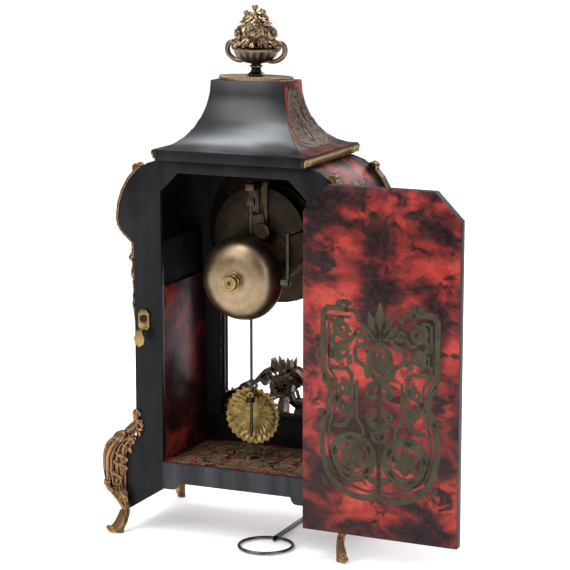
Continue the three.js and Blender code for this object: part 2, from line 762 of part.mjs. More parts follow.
function frontDoorFrame() {
  const { halfWidth, lowZ, archRadius } = frontDoor;
  const panel = slab(archedOutline(halfWidth, lowZ, archRadius), -frontDoorOuterY, -doorInnerY, archSteps);
  const { rebate, lip } = frontGlazing;
  return cut(
    panel,
    slab(glazingOutline(0), -frontDoorOuterY - 1, -doorInnerY + 1, archSteps),
    slab(glazingOutline(rebate), -frontDoorOuterY + lip, -doorInnerY + 1, archSteps),
  );
}

function frontGlass() {
  const { rebate, glass, lip } = frontGlazing;
  const lowY = -frontDoorOuterY + lip + clear;
  return slab(glazingOutline(rebate - clear), lowY, lowY + glass, archSteps);
}

// The bead holds the glass in its rebate from behind.
function glassBead() {
  const { rebate, glass, lip } = frontGlazing;
  const lowY = -frontDoorOuterY + lip + glass + 2 * clear;
  const outer = slab(glazingOutline(rebate - clear), lowY, -doorInnerY, archSteps);
  return cut(outer, slab(glazingOutline(0), lowY - 1, -doorInnerY + 1, archSteps));
}

// A hook that turns on one screw: flat on the stile, bent out beside the door, flat again over it.
function latchHook() {
  const { halfWidth, above, below, sheet, bendAt, bendHalfWidth, corner, screwRadius } = latch;
  const lowY = doorInnerY;
  const hookY = backDoorOuterY + 1.5 * clear;
  const seat = symmetricPoints([
    [0, above],
    [halfWidth - corner, above],
    [halfWidth, above - corner],
    [halfWidth, -bendAt + corner + 1],
    [bendHalfWidth, -bendAt],
    [0, -bendAt],
  ]);
  const tip = symmetricPoints([
    [0, -bendAt + sheet],
    [bendHalfWidth, -bendAt + sheet],
    [bendHalfWidth, -bendAt],
    [halfWidth, -bendAt - corner - 2],
    [halfWidth - 1, -below + corner],
    [0, -below],
  ]);
  const web = block(-bendHalfWidth, bendHalfWidth, lowY, hookY + sheet, -bendAt, -bendAt + sheet);
  const hook = join(slab(seat, lowY, lowY + sheet), web, slab(tip, hookY, hookY + sheet));
  return cut(hook, rodY(screwRadius + slack, lowY - 1, lowY + sheet + 1, 0, 0, 12));
}

function latchScrew() {
  const { x, z, sheet, screwRadius, headRadius, headHeight, slotWidth } = latch;
  const headY = doorInnerY + sheet + clear;
  const slotLowY = headY + 0.6 * headHeight;
  const shank = rodY(screwRadius, doorInnerY, headY + headHeight / 2, x, z, 12);
  const head = rodY(headRadius, headY, headY + headHeight, x, z, 14);
  const slot = block(
    x - headRadius - 1,
    x + headRadius + 1,
    slotLowY,
    headY + headHeight + 1,
    z - slotWidth / 2,
    z + slotWidth / 2,
  );
  return cut(join(shank, head), slot);
}

// ---------- Dial and hands ----------

const goingArbor = new THREE.Vector2(
  greatWheel.distance * Math.cos(toRadians(greatWheel.angleDeg)),
  dialZ + greatWheel.distance * Math.sin(toRadians(greatWheel.angleDeg)),
);
const pipe = {
  inner: centreShaft.radius + slack,
  outer: centreShaft.radius + slack + handPipeWall,
};

const windingHoleRadius = windingRadius + 1.4;

// The dial carries a raised chapter ring, twelve cartouches and, behind, three riveted feet.
function dialPlate() {
  const disc = join(
    rodY(dialRadius, dialFrontY, dialBackY, 0, dialZ, 40),
    chapterRing(),
    hourCartouches(),
    dialFeet(),
  );
  const holes = [
    rodY(pipe.outer + slack, dialFrontY - 1, dialBackY + 1, 0, dialZ, 12),
    ...[-1, 1].map((side) => (
      rodY(windingHoleRadius, dialFrontY - 1, dialBackY + 1, side * goingArbor.x, goingArbor.y, 12)
    )),
  ];
  return cut(disc, ...holes);
}

function chapterRing() {
  const outer = new THREE.Shape();
  outer.absarc(0, dialZ, chapter.outer, 0, 2 * Math.PI, false);
  const hole = new THREE.Path();
  hole.absarc(0, dialZ, chapter.inner, 0, 2 * Math.PI, true);
  outer.holes.push(hole);
  return slab(outer, dialFrontY - chapter.thickness, dialFrontY + 0.5, 14);
}

// Twelve enamel plates with cut corners, standing upright round the dial.
function hourCartouches() {
  const { count, radius, halfWidth, halfHeight, thickness } = cartouche;
  const cornerX = 0.6 * halfWidth;
  const cornerZ = 0.6 * halfHeight;
  const frontY = dialFrontY - thickness;
  const plates = Array.from({ length: count }, (_, i) => {
    const angle = (2 * Math.PI * i) / count;
    const x = radius * Math.sin(angle);
    const z = dialZ + radius * Math.cos(angle);
    const outline = pointsAt([
      [halfWidth, -cornerZ],
      [halfWidth, cornerZ],
      [cornerX, halfHeight],
      [-cornerX, halfHeight],
      [-halfWidth, cornerZ],
      [-halfWidth, -cornerZ],
      [-cornerX, -halfHeight],
      [cornerX, -halfHeight],
    ], x, z);
    return slab(outline, frontY, dialFrontY + 0.5);
  });
  return join(plates[0], ...plates.slice(1));
}

const hourHandY = dialFrontY - cartouche.thickness - handStep;
const minuteHandY = hourHandY - hourHand.thickness - handStep;

// A waisted hand that points to twelve, as shares of its width and length.
function handOutline(length, width) {
  const shares = [
    [0, 1],
    [0.12, 0.93],
    [0.5, 0.72],
    [0.2, 0.58],
    [0.34, 0.4],
    [0.16, 0.25],
    [0.3, 0],
    [0, -0.14],
  ];
  return symmetricPoints(shares.map(([across, along]) => [across * width, along * length]), dialZ);
}

// The hour hand sits on a pipe that turns round the minute arbor.
function hourHandSolid() {
  const highY = hourHandY + hourHand.thickness;
  const blade = slab(handOutline(hourHand.length, hourHand.width), hourHandY, highY);
  const boss = rodY(5, hourHandY, highY, 0, dialZ, 16);
  const tube = rodY(pipe.outer, hourHandY, frontPlateY - 1.6, 0, dialZ, 16);
  const bore = rodY(pipe.inner, hourHandY - 1, 0, 0, dialZ, 16);
  return cut(join(blade, boss, tube), bore);
}

function minuteHandSolid() {
  const highY = minuteHandY + minuteHand.thickness;
  const blade = slab(handOutline(minuteHand.length, minuteHand.width), minuteHandY, highY);
  const boss = rodY(4.4, minuteHandY, highY, 0, dialZ, 16);
  const bore = rodY(centreShaft.tipRadius + clear, minuteHandY - 1, highY + 1, 0, dialZ, 12);
  return cut(join(blade, boss), bore);
}

function handNut() {
  const backY = minuteHandY - clear;
  const nut = rodY(2.8, backY - 2, backY, 0, dialZ, 12);
  return cut(nut, rodY(centreShaft.tipRadius + clear, backY - 3, backY + 1, 0, dialZ, 12));
}

// ---------- Movement ----------

function pointRound(centre, radius, angle) {
  return new THREE.Vector2(centre.x + radius * Math.cos(angle), centre.y + radius * Math.sin(angle));
}

const toothShare = 0.2; // half a tooth's width at its root, as a share of the tooth spacing

// A toothed wheel in its own (x, z) outline. Its teeth are slim, so meshed wheels have play.
function toothedOutline(teeth, pitchRadius, centre, phase) {
  const size = (2 * pitchRadius) / teeth;
  const step = (2 * Math.PI) / teeth;
  const tip = pitchRadius + 0.6 * size;
  const root = pitchRadius - 0.95 * size;
  return Array.from({ length: teeth }, (_, i) => {
    const middle = phase + i * step;
    return [
      pointRound(centre, root, middle - toothShare * step),
      pointRound(centre, tip, middle),
      pointRound(centre, root, middle + toothShare * step),
    ];
  }).flat();
}

// Pitch radii of a wheel and the pinion that it drives, from their distance and counts.
function pitchRadii({ teeth, pinionLeaves, distance }) {
  const share = distance / (teeth + pinionLeaves);
  return [share * teeth, share * pinionLeaves];
}

const handArbor = new THREE.Vector2(0, dialZ);
const centreAngle = toRadians(centreWheel.angleDeg);
const thirdArbor = handArbor.clone()
  .add(new THREE.Vector2(Math.cos(centreAngle), Math.sin(centreAngle)).multiplyScalar(centreWheel.distance));
const escapeArbor = new THREE.Vector2(
  0,
  thirdArbor.y + Math.sqrt(thirdWheel.distance ** 2 - thirdArbor.x ** 2),
);

// Wheels lie at their own depths between the plates.
const layers = {
  great: frontPlateInnerY + 1,
  centre: backPlateInnerY - 4,
  third: backPlateInnerY - 11,
  escape: frontPlateInnerY + 5.5,
};
const wheelThickness = 1.3;
const pinionLength = 3.5;
const drumHighY = backPlateInnerY - 7;

function toothedWheel(teeth, pitchRadius, arbor, phase, lowY, thickness) {
  return slab(toothedOutline(teeth, pitchRadius, arbor, phase), lowY, lowY + thickness);
}

// An arbor between the plates, with a thin pivot in each of them.
function pivotedArbor(arbor) {
  return join(
    rodY(arborRadius, frontPlateInnerY + clear, backPlateInnerY - clear, arbor.x, arbor.y, 8),
    rodY(pivotRadius, frontPlateY, backPlateY, arbor.x, arbor.y, 8),
  );
}

const [greatPitch, centrePinionPitch] = pitchRadii(greatWheel);
const [centrePitch, thirdPinionPitch] = pitchRadii(centreWheel);
const [thirdPitch, escapePinionPitch] = pitchRadii(thirdWheel);

// Phase that sets a tooth of the first wheel, or a gap of the second, on the line of centres.
function gapPhase(angle, teeth) {
  return angle + Math.PI + Math.PI / teeth;
}

const arborHole = windingRadius + slack;

// Each barrel is a drum with its great wheel: in front on the going side, behind on the strike side.
function barrel(side) {
  const arbor = new THREE.Vector2(side * goingArbor.x, goingArbor.y);
  const towardsCentre = Math.atan2(handArbor.y - arbor.y, handArbor.x - arbor.x);
  const wheelY = side > 0 ? layers.great : drumHighY - wheelThickness;
  const wheel = toothedWheel(greatWheel.teeth, greatPitch, arbor, towardsCentre, wheelY, wheelThickness);
  const drum = rodY(greatWheel.drumRadius, layers.great + 0.5, drumHighY, arbor.x, arbor.y, 24);
  return cut(join(wheel, drum), rodY(arborHole, layers.great - 1, drumHighY + 1, arbor.x, arbor.y, 12));
}

const squareEndY = hourHandY + hourHand.thickness + 2 * clear; // the hour hand passes in front of it

// The winding arbor runs through the barrel and ends in a square in front of the dial.
function windingArbor(side) {
  const x = side * goingArbor.x;
  const z = goingArbor.y;
  const half = windingRadius / Math.SQRT2;
  const shaft = rodY(windingRadius, frontPlateInnerY + clear, backPlateInnerY - clear, x, z, 12);
  const pivots = rodY(winderPivotRadius, frontPlateY - 1, backPlateY, x, z, 10);
  const square = block(x - half, x + half, squareEndY, frontPlateY - 0.6, z - half, z + half);
  const ratchet = rodY(6, drumHighY + 1.5, drumHighY + 1.5 + wheelThickness, x, z, 16);
  return join(shaft, pivots, square, ratchet);
}

function centreArborSolid() {
  const toBarrel = Math.atan2(goingArbor.y - handArbor.y, goingArbor.x - handArbor.x);
  const pinionPhase = gapPhase(toBarrel - Math.PI, greatWheel.pinionLeaves);
  const leaves = greatWheel.pinionLeaves;
  const { radius, tipRadius } = centreShaft;
  return join(
    pivotedArbor(handArbor),
    rodY(radius, minuteHandY + minuteHand.thickness + clear, frontPlateY - clear, 0, dialZ, 12),
    rodY(tipRadius, minuteHandY - 2.2, frontPlateInnerY + 1, 0, dialZ, 12),
    toothedWheel(leaves, centrePinionPitch, handArbor, pinionPhase, layers.great - 0.6, pinionLength - 1),
    toothedWheel(centreWheel.teeth, centrePitch, handArbor, centreAngle, layers.centre, wheelThickness),
  );
}

const toEscape = Math.atan2(escapeArbor.y - thirdArbor.y, escapeArbor.x - thirdArbor.x);

function thirdWheelSolid() {
  const leaves = centreWheel.pinionLeaves;
  const phase = gapPhase(centreAngle, leaves);
  return join(
    pivotedArbor(thirdArbor),
    toothedWheel(leaves, thirdPinionPitch, thirdArbor, phase, layers.centre - 1.1, pinionLength),
    toothedWheel(thirdWheel.teeth, thirdPitch, thirdArbor, toEscape, layers.third, wheelThickness),
  );
}

// Pointed, forward-leaning teeth that the anchor catches one at a time.
function escapeOutline() {
  const { teeth, radius } = escapeWheel;
  const step = (2 * Math.PI) / teeth;
  return Array.from({ length: teeth }, (_, i) => {
    const start = Math.PI / 2 + (i + 0.5) * step;
    return [
      pointRound(escapeArbor, radius - 1.1, start),
      pointRound(escapeArbor, radius, start + 0.45 * step),
    ];
  }).flat();
}

function escapeWheelSolid() {
  const leaves = thirdWheel.pinionLeaves;
  const phase = gapPhase(toEscape, leaves);
  return join(
    pivotedArbor(escapeArbor),
    toothedWheel(leaves, escapePinionPitch, escapeArbor, phase, layers.third - 1.1, pinionLength),
    slab(escapeOutline(), layers.escape, layers.escape + 1),
  );
}

// The anchor's arms reach down on both sides of the escape wheel and stay clear of its teeth.
function anchorSolid() {
  const lowY = layers.escape;
  const armX = escapeWheel.radius - 1.2;
  const palletZ = escapeArbor.y + Math.sqrt(escapeWheel.radius ** 2 - armX ** 2) + anchorPallets.rise;
  const outline = symmetricPoints([
    [0, anchorZ + 2],
    [2.2, anchorZ + 2],
    [armX + 1, palletZ + 1.6],
    [armX + 1.8, palletZ],
    [armX - 0.6, palletZ + 0.8],
    [0, anchorZ - 2.4],
  ]);
  return join(
    rodY(arborRadius, frontPlateInnerY + clear, backPlateInnerY - clear, 0, anchorZ, 8),
    rodY(pivotRadius, frontPlateY, crutch.highY, 0, anchorZ, 8),
    slab(outline, lowY, lowY + anchorPallets.thickness),
  );
}

const cockFootY = backPlateY + clear + cock.footThickness;
const crutch = { lowY: cockFootY + clear, highY: cockFootY + clear + crutchThickness };
const springTopZ = anchorZ + 2.2;
const cockArmLowZ = springTopZ + clear;

// The crutch hangs from the anchor's arbor and embraces the pendulum rod with two pins.
function crutchSolid() {
  const pinRadius = 0.8;
  const pinX = rodRadius + slack + pinRadius;
  const footX = pinX + pinRadius;
  const lowZ = crutchForkZ - crutchThickness;
  const strip = block(-1.5, 1.5, crutch.lowY, crutch.highY, lowZ, anchorZ + 2);
  const foot = block(-footX, footX, crutch.lowY, crutch.highY, lowZ, crutchForkZ + crutchThickness);
  const pins = [-1, 1].map((side) => (
    rodY(pinRadius, crutch.lowY, pendulumY + 2 * rodRadius, side * pinX, crutchForkZ, 8)
  ));
  return join(strip, foot, ...pins);
}

// The cock is screwed to the back plate; its arm carries the suspension spring.
function suspensionCock() {
  const { halfWidth, belowDial, armHalfWidth, armHeight } = cock;
  const lowY = backPlateY + clear;
  const highZ = cockArmLowZ + armHeight;
  const footPlate = block(-halfWidth, halfWidth, lowY, cockFootY, dialZ - belowDial, highZ);
  const arm = block(-armHalfWidth, armHalfWidth, lowY, pendulumY + 3.5, cockArmLowZ, highZ);
  const pivotHole = (z) => rodY(pivotRadius + 1.4, lowY - 1, cockFootY + 1, 0, z, 12);
  return cut(join(footPlate, arm, bossOnCock()), pivotHole(anchorZ), pivotHole(dialZ));
}

// A turned brass boss on a post, with a sunk eye, beside the pendulum.
function bossOnCock() {
  const { x, z, postRadius, radius, lowY, highY, eyeRadius } = cockBoss;
  const post = rodY(postRadius, cockFootY - 0.5, lowY + 1, x, z, 12);
  const disc = turnedY([
    [0, lowY],
    [0.7 * radius, lowY],
    [radius, lowY + 0.3 * (highY - lowY)],
    [radius, highY - 0.8],
    [radius - 0.8, highY],
    [radius - 2.4, highY],
    [radius - 3.2, highY - 0.8],
    [eyeRadius, highY - 0.8],
    [eyeRadius, highY - 1.8],
    [0, highY - 1.8],
  ], x, z, 20);
  return join(post, disc);
}

function platePivotHoles() {
  const small = [handArbor, thirdArbor, escapeArbor, new THREE.Vector2(0, anchorZ)]
    .map((arbor) => ({ arbor, radius: pivotRadius + slack }));
  const large = [-1, 1].map((side) => ({
    arbor: new THREE.Vector2(side * goingArbor.x, goingArbor.y),
    radius: winderPivotRadius + slack,
  }));
  const striker = { arbor: new THREE.Vector2(hammer.x, hammer.z), radius: arborRadius + slack };
  return [...small, ...large, striker];
}

function movementPlate(lowY, wideCentre) {
  const disc = rodY(plateRadius, lowY, lowY + plateThickness, 0, dialZ, 40);
  const holes = platePivotHoles().map(({ arbor, radius }) => (
    rodY(radius, lowY - 1, lowY + plateThickness + 1, arbor.x, arbor.y, 10)
  ));
  const centreHole = rodY(centreShaft.tipRadius + slack, lowY - 1, lowY + plateThickness + 1, 0, dialZ, 12);
  return cut(disc, ...holes, ...(wideCentre ? [centreHole] : []));
}

// Rods round the movement's edge, at angles counted from the right.
function rodsRound(degreesList, lowY, highY) {
  const rods = degreesList.map((degrees) => {
    const place = pointRound(handArbor, pillarReach, toRadians(degrees));
    return rodY(pillarRadius, lowY, highY, place.x, place.y, 12);
  });
  return join(rods[0], ...rods.slice(1));
}

// Four pillars, riveted to the front plate, hold the plates apart.
function pillars() {
  return rodsRound([45, 135, 250, 290], frontPlateInnerY - 0.5, backPlateInnerY - clear);
}

// Feet between the movement's front plate and the dial.
function dialFeet() {
  return rodsRound([20, 160, 270], dialBackY - 0.5, frontPlateY - clear);
}

// The strike train's notched count wheel, carried by the strike barrel's arbor behind the plate.
function countWheel() {
  const notches = 12;
  const step = (2 * Math.PI) / notches;
  const centre = new THREE.Vector2(-goingArbor.x, goingArbor.y);
  const notch = [[0, 1], [0.78, 1], [0.82, 0.82], [0.96, 0.82]]; // [share of a step, share of the radius]
  const outline = Array.from({ length: notches }, (_, i) => (
    notch.map(([along, share]) => pointRound(centre, share * countWheelRadius, (i + along) * step))
  )).flat();
  const lowY = backPlateY + clear;
  const disc = slab(outline, lowY, lowY + 1.2);
  return join(disc, rodY(3, lowY, lowY + 2.4, centre.x, centre.y, 12));
}

// ---------- Pendulum ----------

const rodTopZ = anchorZ - 8;
const rodLowZ = bob.z - 0.7 * bob.radius;
const nutHighZ = bob.z + 0.62 * bob.radius;

// The rod hangs from a thin spring blade, clamped in a small block at its top.
function pendulumRod() {
  const { bladeHalfWidth, bladeHalfThickness, headHalfWidth, headHalfDepth } = suspension;
  const bladeLowY = pendulumY - bladeHalfThickness;
  const bladeHighY = pendulumY + bladeHalfThickness;
  const headLowY = pendulumY - headHalfDepth;
  const headHighY = pendulumY + headHalfDepth;
  const blade = block(-bladeHalfWidth, bladeHalfWidth, bladeLowY, bladeHighY, rodTopZ, springTopZ);
  const head = block(-headHalfWidth, headHalfWidth, headLowY, headHighY, rodTopZ - 3, rodTopZ + 4);
  return join(rodZ(rodRadius, rodLowZ, rodTopZ, 0, pendulumY, 10), head, blade);
}

// The bob's rim, scalloped into short rays.
function sunburstOutline() {
  const { z, radius, rays, rayDepth } = bob;
  const step = (2 * Math.PI) / rays;
  const centre = new THREE.Vector2(0, z);
  const ray = [[0, rayDepth], [0.28, 0.2 * rayDepth], [0.5, 0], [0.72, 0.2 * rayDepth]];
  return Array.from({ length: rays }, (_, i) => (
    ray.map(([along, drop]) => pointRound(centre, radius - drop, (i + along) * step))
  )).flat();
}

// The bob is a thin pressed sunburst, hollow to the back, with a sleeve that the rod passes.
function pendulumBob() {
  const { z, radius, depth, wall } = bob;
  const rimY = pendulumY - rodRadius - clear;
  const dish = turnedY([
    [0, rimY - depth],
    [0.45 * radius, rimY - 0.86 * depth],
    [0.8 * radius, rimY - 0.45 * depth],
    [0.93 * radius, rimY - wall],
    [radius + 1, rimY - wall],
    [radius + 1, rimY],
    [0.9 * radius, rimY],
    [0.78 * radius, rimY - 0.45 * depth + wall],
    [0.44 * radius, rimY - 0.86 * depth + wall],
    [0, rimY - depth + wall],
  ], 0, z, 28);
  const burst = common(dish, slab(sunburstOutline(), rimY - depth - 1, rimY + 1));
  const sleeveLowZ = nutHighZ + clear;
  const sleeve = block(-3.2, 3.2, rimY - 0.4 * depth, pendulumY + 3, sleeveLowZ, sleeveLowZ + 5);
  return cut(join(burst, sleeve), rodZ(rodRadius + clear, sleeveLowZ - 1, sleeveLowZ + 20, 0, pendulumY, 10));
}

function ratingNut() {
  const { radius, height } = ratingNutSize;
  const lowZ = nutHighZ - height;
  const nut = rodZ(radius, lowZ, nutHighZ, 0, pendulumY + 2.2, 14);
  const innerY = pendulumY - rodRadius - 0.1;
  const clearOfDish = block(-radius, radius, innerY, pendulumY + 2 * radius, lowZ - 1, nutHighZ + 1);
  return cut(common(nut, clearOfDish), rodZ(rodRadius + 0.2, lowZ - 1, nutHighZ + 1, 0, pendulumY, 10));
}

// ---------- Bell and hammer ----------

const bellCrownY = bell.mouthY + bell.height;

function bellSolid() {
  const { radius, mouthY, height, wall, x, z } = bell;
  const hole = bellBoltRadius + clear;
  const profilePoints = [
    [radius - wall, mouthY],
    [radius, mouthY],
    [radius, mouthY + 0.12 * height],
    [0.93 * radius, mouthY + 0.45 * height],
    [0.78 * radius, mouthY + 0.76 * height],
    [0.5 * radius, mouthY + 0.94 * height],
    [0.2 * radius, mouthY + height],
    [hole, mouthY + height],
    [hole, mouthY + height - wall],
    [0.2 * radius, mouthY + height - wall],
    [0.48 * radius, mouthY + 0.94 * height - wall],
    [0.73 * radius, mouthY + 0.76 * height - wall],
    [0.87 * radius, mouthY + 0.45 * height - 0.5 * wall],
    [radius - 1.1 * wall, mouthY + 0.12 * height],
    [radius - wall, mouthY],
  ];
  return turnedY(profilePoints, x, z, 28);
}

// A post from the back plate, an arm inside the bell's mouth and a bolt through its crown.
function bellStand() {
  const armLowY = pendulumY + rodRadius + 1.6;
  const armHighY = armLowY + 3;
  const dx = bell.x - bellPost.x;
  const dz = bell.z - bellPost.z;
  const length = Math.hypot(dx, dz);
  const arm = new THREE.BoxGeometry(length + 4, armHighY - armLowY, 4.6)
    .rotateY(-Math.atan2(dz, dx))
    .translate((bell.x + bellPost.x) / 2, (armLowY + armHighY) / 2, (bell.z + bellPost.z) / 2);
  const post = rodY(bellPost.radius, backPlateY + clear, armHighY, bellPost.x, bellPost.z, 12);
  const foot = rodY(5, backPlateY + clear, backPlateY + clear + 2, bellPost.x, bellPost.z, 14);
  const boltEndY = bellCrownY + clear + bellNutSize.washer + bellNutSize.height;
  const bolt = rodY(bellBoltRadius, armLowY, boltEndY, bell.x, bell.z, 10);
  const seat = rodY(4, armLowY, bellCrownY - bell.wall - clear, bell.x, bell.z, 12);
  return join(arm, post, foot, bolt, seat);
}

// A washer and a tall thimble nut in one turned piece.
function bellNut() {
  const { washerRadius, washer, radius, waistRadius, height } = bellNutSize;
  const bore = bellBoltRadius + 0.2;
  const lowY = bellCrownY + clear;
  const nutY = lowY + washer;
  return turnedY([
    [bore, lowY],
    [washerRadius, lowY],
    [washerRadius, nutY],
    [waistRadius, nutY],
    [waistRadius, nutY + 0.35 * height],
    [radius, nutY + 0.5 * height],
    [radius, nutY + 0.9 * height],
    [radius - 0.8, nutY + height],
    [bore, nutY + height],
    [bore, lowY],
  ], bell.x, bell.z, 24);
}

// The hammer hangs on its own arbor; its head rests a hair from the bell's rim.
function hammerSolid() {
  const headRightX = bell.x - bell.radius - hammer.gap;
  const headY = bell.mouthY + 5;
  const headX = headRightX - hammer.headLength / 2;
  return join(
    rodY(arborRadius, frontPlateY, headY + 1.4, hammer.x, hammer.z, 8),
    block(hammer.x - 1.3, hammer.x + 1.3, headY - 1.4, headY + 1.4, bell.z, hammer.z + 2.5),
    rodX(hammer.headRadius, headX - hammer.headLength / 2, headRightX, headY, bell.z, 12),
  );
}

// ---------- Winding key ----------

// A wire ring with its ends drawn in to a long plain shaft; it lies flat on the ground.
function windingKey() {
  const { ringRadius, wireRadius, shaftRadius, shaftEndY, dent, sleeveRadius, sleeveLength } = key;
  const endY = shaftEndY - key.y;
  const neckY = -ringRadius + dent;
  const loop = Array.from({ length: 9 }, (_, i) => {
    const angle = toRadians(-60 + (300 * i) / 8);
    return new THREE.Vector3(ringRadius * Math.cos(angle), ringRadius * Math.sin(angle), shaftRadius);
  });
  const ends = [
    new THREE.Vector3(2.2, neckY, shaftRadius),
    new THREE.Vector3(-2.2, neckY, shaftRadius),
  ];
  const curve = new THREE.CatmullRomCurve3([ends[0], ...loop, ends[1]], false, 'centripetal');
  const section = new THREE.Shape();
  section.absellipse(0, 0, wireRadius, wireRadius, 0, 2 * Math.PI, false, 0);
  const ring = new THREE.ExtrudeGeometry(section, { steps: 30, extrudePath: curve, curveSegments: 4 });
  const collar = rodY(sleeveRadius, neckY - 4, neckY + 2, 0, sleeveRadius, 12);
  const shaft = rodY(shaftRadius, endY, neckY, 0, sleeveRadius, 12);
  const sleeve = rodY(sleeveRadius, endY, endY + sleeveLength, 0, sleeveRadius, 12);
  return join(ring, collar, shaft, sleeve).translate(key.x, key.y, 0);
}

// ---------- Materials ----------

const finishes = {
  lacquer: { color: 0x1e1f22, roughness: 0.22, metalness: 0 },
  tortoiseshell: { color: 0x7a1f18, roughness: 0.25, metalness: 0 },
  darkWood: { color: 0x2c1a12, roughness: 0.5, metalness: 0 },
  gilt: { color: 0xb8893f, roughness: 0.35, metalness: 0.9 },
  brass: { color: 0xa8874a, roughness: 0.4, metalness: 0.9 },
  darkBrass: { color: 0x4a3c26, roughness: 0.5, metalness: 0.8 },
  bellMetal: { color: 0xa58c6e, roughness: 0.45, metalness: 0.85 },
  steel: { color: 0x55524f, roughness: 0.35, metalness: 0.9 },
  iron: { color: 0x2a2826, roughness: 0.6, metalness: 0.7 },
  enamel: { color: 0xeeeae0, roughness: 0.15, metalness: 0 },
  glass: { color: 0xe6eef0, roughness: 0.05, metalness: 0, transparent: true, opacity: 0.25 },
};

// ---------- Assembly ----------

const clock = new THREE.Group();

function add(name, geometry, finish, parent = clock) {
  const mesh = new THREE.Mesh(geometry, new THREE.MeshStandardMaterial(finishes[finish]));
  mesh.name = name;
  parent.add(mesh);
}

const sides = [['left', -1], ['right', 1]];
const corners = [
  ['back_left', -1, 1],
  ['back_right', 1, 1],
  ['front_left', -1, -1],
  ['front_right', 1, -1],
];

add('base_board', baseBoardSolid(), 'darkWood');
add('back_frame', backFrame(), 'lacquer');
add('front_frame', frontFrame(), 'tortoiseshell');
sides.forEach(([side, sign]) => {
  add(`side_${side}`, mirrored(sideWall(), sign), 'tortoiseshell');
  add(`lining_${side}`, mirrored(liningPanel(), sign), 'tortoiseshell');
});

add('cornice_board', corniceBoard(), 'lacquer');
add('cornice_moulding', corniceMoulding(), 'gilt');
add('roof', roofShell(), 'tortoiseshell');
add('roof_plate', roofPlate(), 'gilt');
add('finial_urn', join(finialUrn(), finialHandleSolid(), mirrored(finialHandleSolid(), -1)), 'gilt');
add('finial_bouquet', bouquet(), 'gilt');

corners.forEach(([corner, signX, signY]) => {
  add(`foot_${corner}`, mirrored(footMount(), signX, signY), 'gilt');
  add(`corner_mount_${corner}`, mirrored(cornerMountSolid(), signX, signY), 'gilt');
});
add('apron_mount', apronMountSolid(), 'gilt');

// The back door turns on the left back edge and stands open at rest.
const backDoorGroup = new THREE.Group();
backDoorGroup.position.set(-backHinge.x, backHinge.y, 0);
backDoorGroup.rotation.z = toRadians(backDoorOpenDeg);
clock.add(backDoorGroup);

function addToBackDoor(name, geometry, finish) {
  add(name, geometry.translate(backHinge.x, -backHinge.y, 0), finish, backDoorGroup);
}

addToBackDoor('back_door', backDoorPanel(), 'tortoiseshell');
[['lower', backHinges.lowZ], ['upper', backHinges.highZ]].forEach(([place, z]) => {
  const strap = movingLeaf(backHinge, backDoor.halfWidth, backDoorOuterY, z, backHinges);
  addToBackDoor(`back_hinge_strap_${place}`, mirrored(strap, -1), 'brass');
  add(`back_hinge_leaf_${place}`, mirrored(fixedLeaf(backHinge, z, backHinges), -1), 'brass');
});

add('latch_hook', latchHook().translate(latch.x, 0, latch.z), 'brass');
add('latch_screw', latchScrew(), 'steel');

add('front_door', frontDoorFrame(), 'tortoiseshell');
add('front_glass', frontGlass(), 'glass');
add('glass_bead', glassBead(), 'brass');
add('window_relief', windowReliefSolid(), 'gilt');
const frontStrap = movingLeaf(frontHinge, frontDoor.halfWidth, frontDoorOuterY, frontHinges.z, frontHinges);
add('front_hinge_strap', mirrored(frontStrap, 1, -1), 'brass');
add('front_hinge_leaf', mirrored(fixedLeaf(frontHinge, frontHinges.z, frontHinges), 1, -1), 'brass');

add('dial_plate', dialPlate(), 'gilt');
add('hour_hand', hourHandSolid(), 'iron');
add('minute_hand', minuteHandSolid(), 'iron');
add('hand_nut', handNut(), 'brass');

add('front_plate', join(movementPlate(frontPlateY, true), pillars()), 'brass');
add('back_plate', movementPlate(backPlateInnerY, false), 'darkBrass');
add('going_barrel', barrel(1), 'brass');
add('going_winding_arbor', windingArbor(1), 'steel');
add('strike_barrel', barrel(-1), 'brass');
add('strike_winding_arbor', windingArbor(-1), 'steel');
add('count_wheel', countWheel(), 'brass');
add('centre_arbor', centreArborSolid(), 'brass');
add('third_wheel', thirdWheelSolid(), 'brass');
add('escape_wheel', escapeWheelSolid(), 'brass');
add('anchor_crutch', join(anchorSolid(), crutchSolid()), 'steel');
add('suspension_cock', suspensionCock(), 'darkBrass');
add('pendulum_rod', pendulumRod(), 'iron');
add('pendulum_bob', pendulumBob(), 'brass');
add('rating_nut', ratingNut(), 'brass');

add('bell', bellSolid(), 'bellMetal');
add('bell_stand', bellStand(), 'steel');
add('bell_nut', bellNut(), 'brass');
add('strike_hammer', hammerSolid(), 'steel');
add('winding_key', windingKey(), 'iron');

clock.position.z = -baseBoard.lowZ;

export default clock;
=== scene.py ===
# %% [markdown]
# A bracket clock in boulle work, seen from behind with its back door open.
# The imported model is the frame: every finished piece in this lesson is built round it, in metres,
# with +Z up, the dial towards -Y and the back door towards +Y.

# %% Load the frame
import json
import math
import random

import bpy
from mathutils import Matrix, Vector

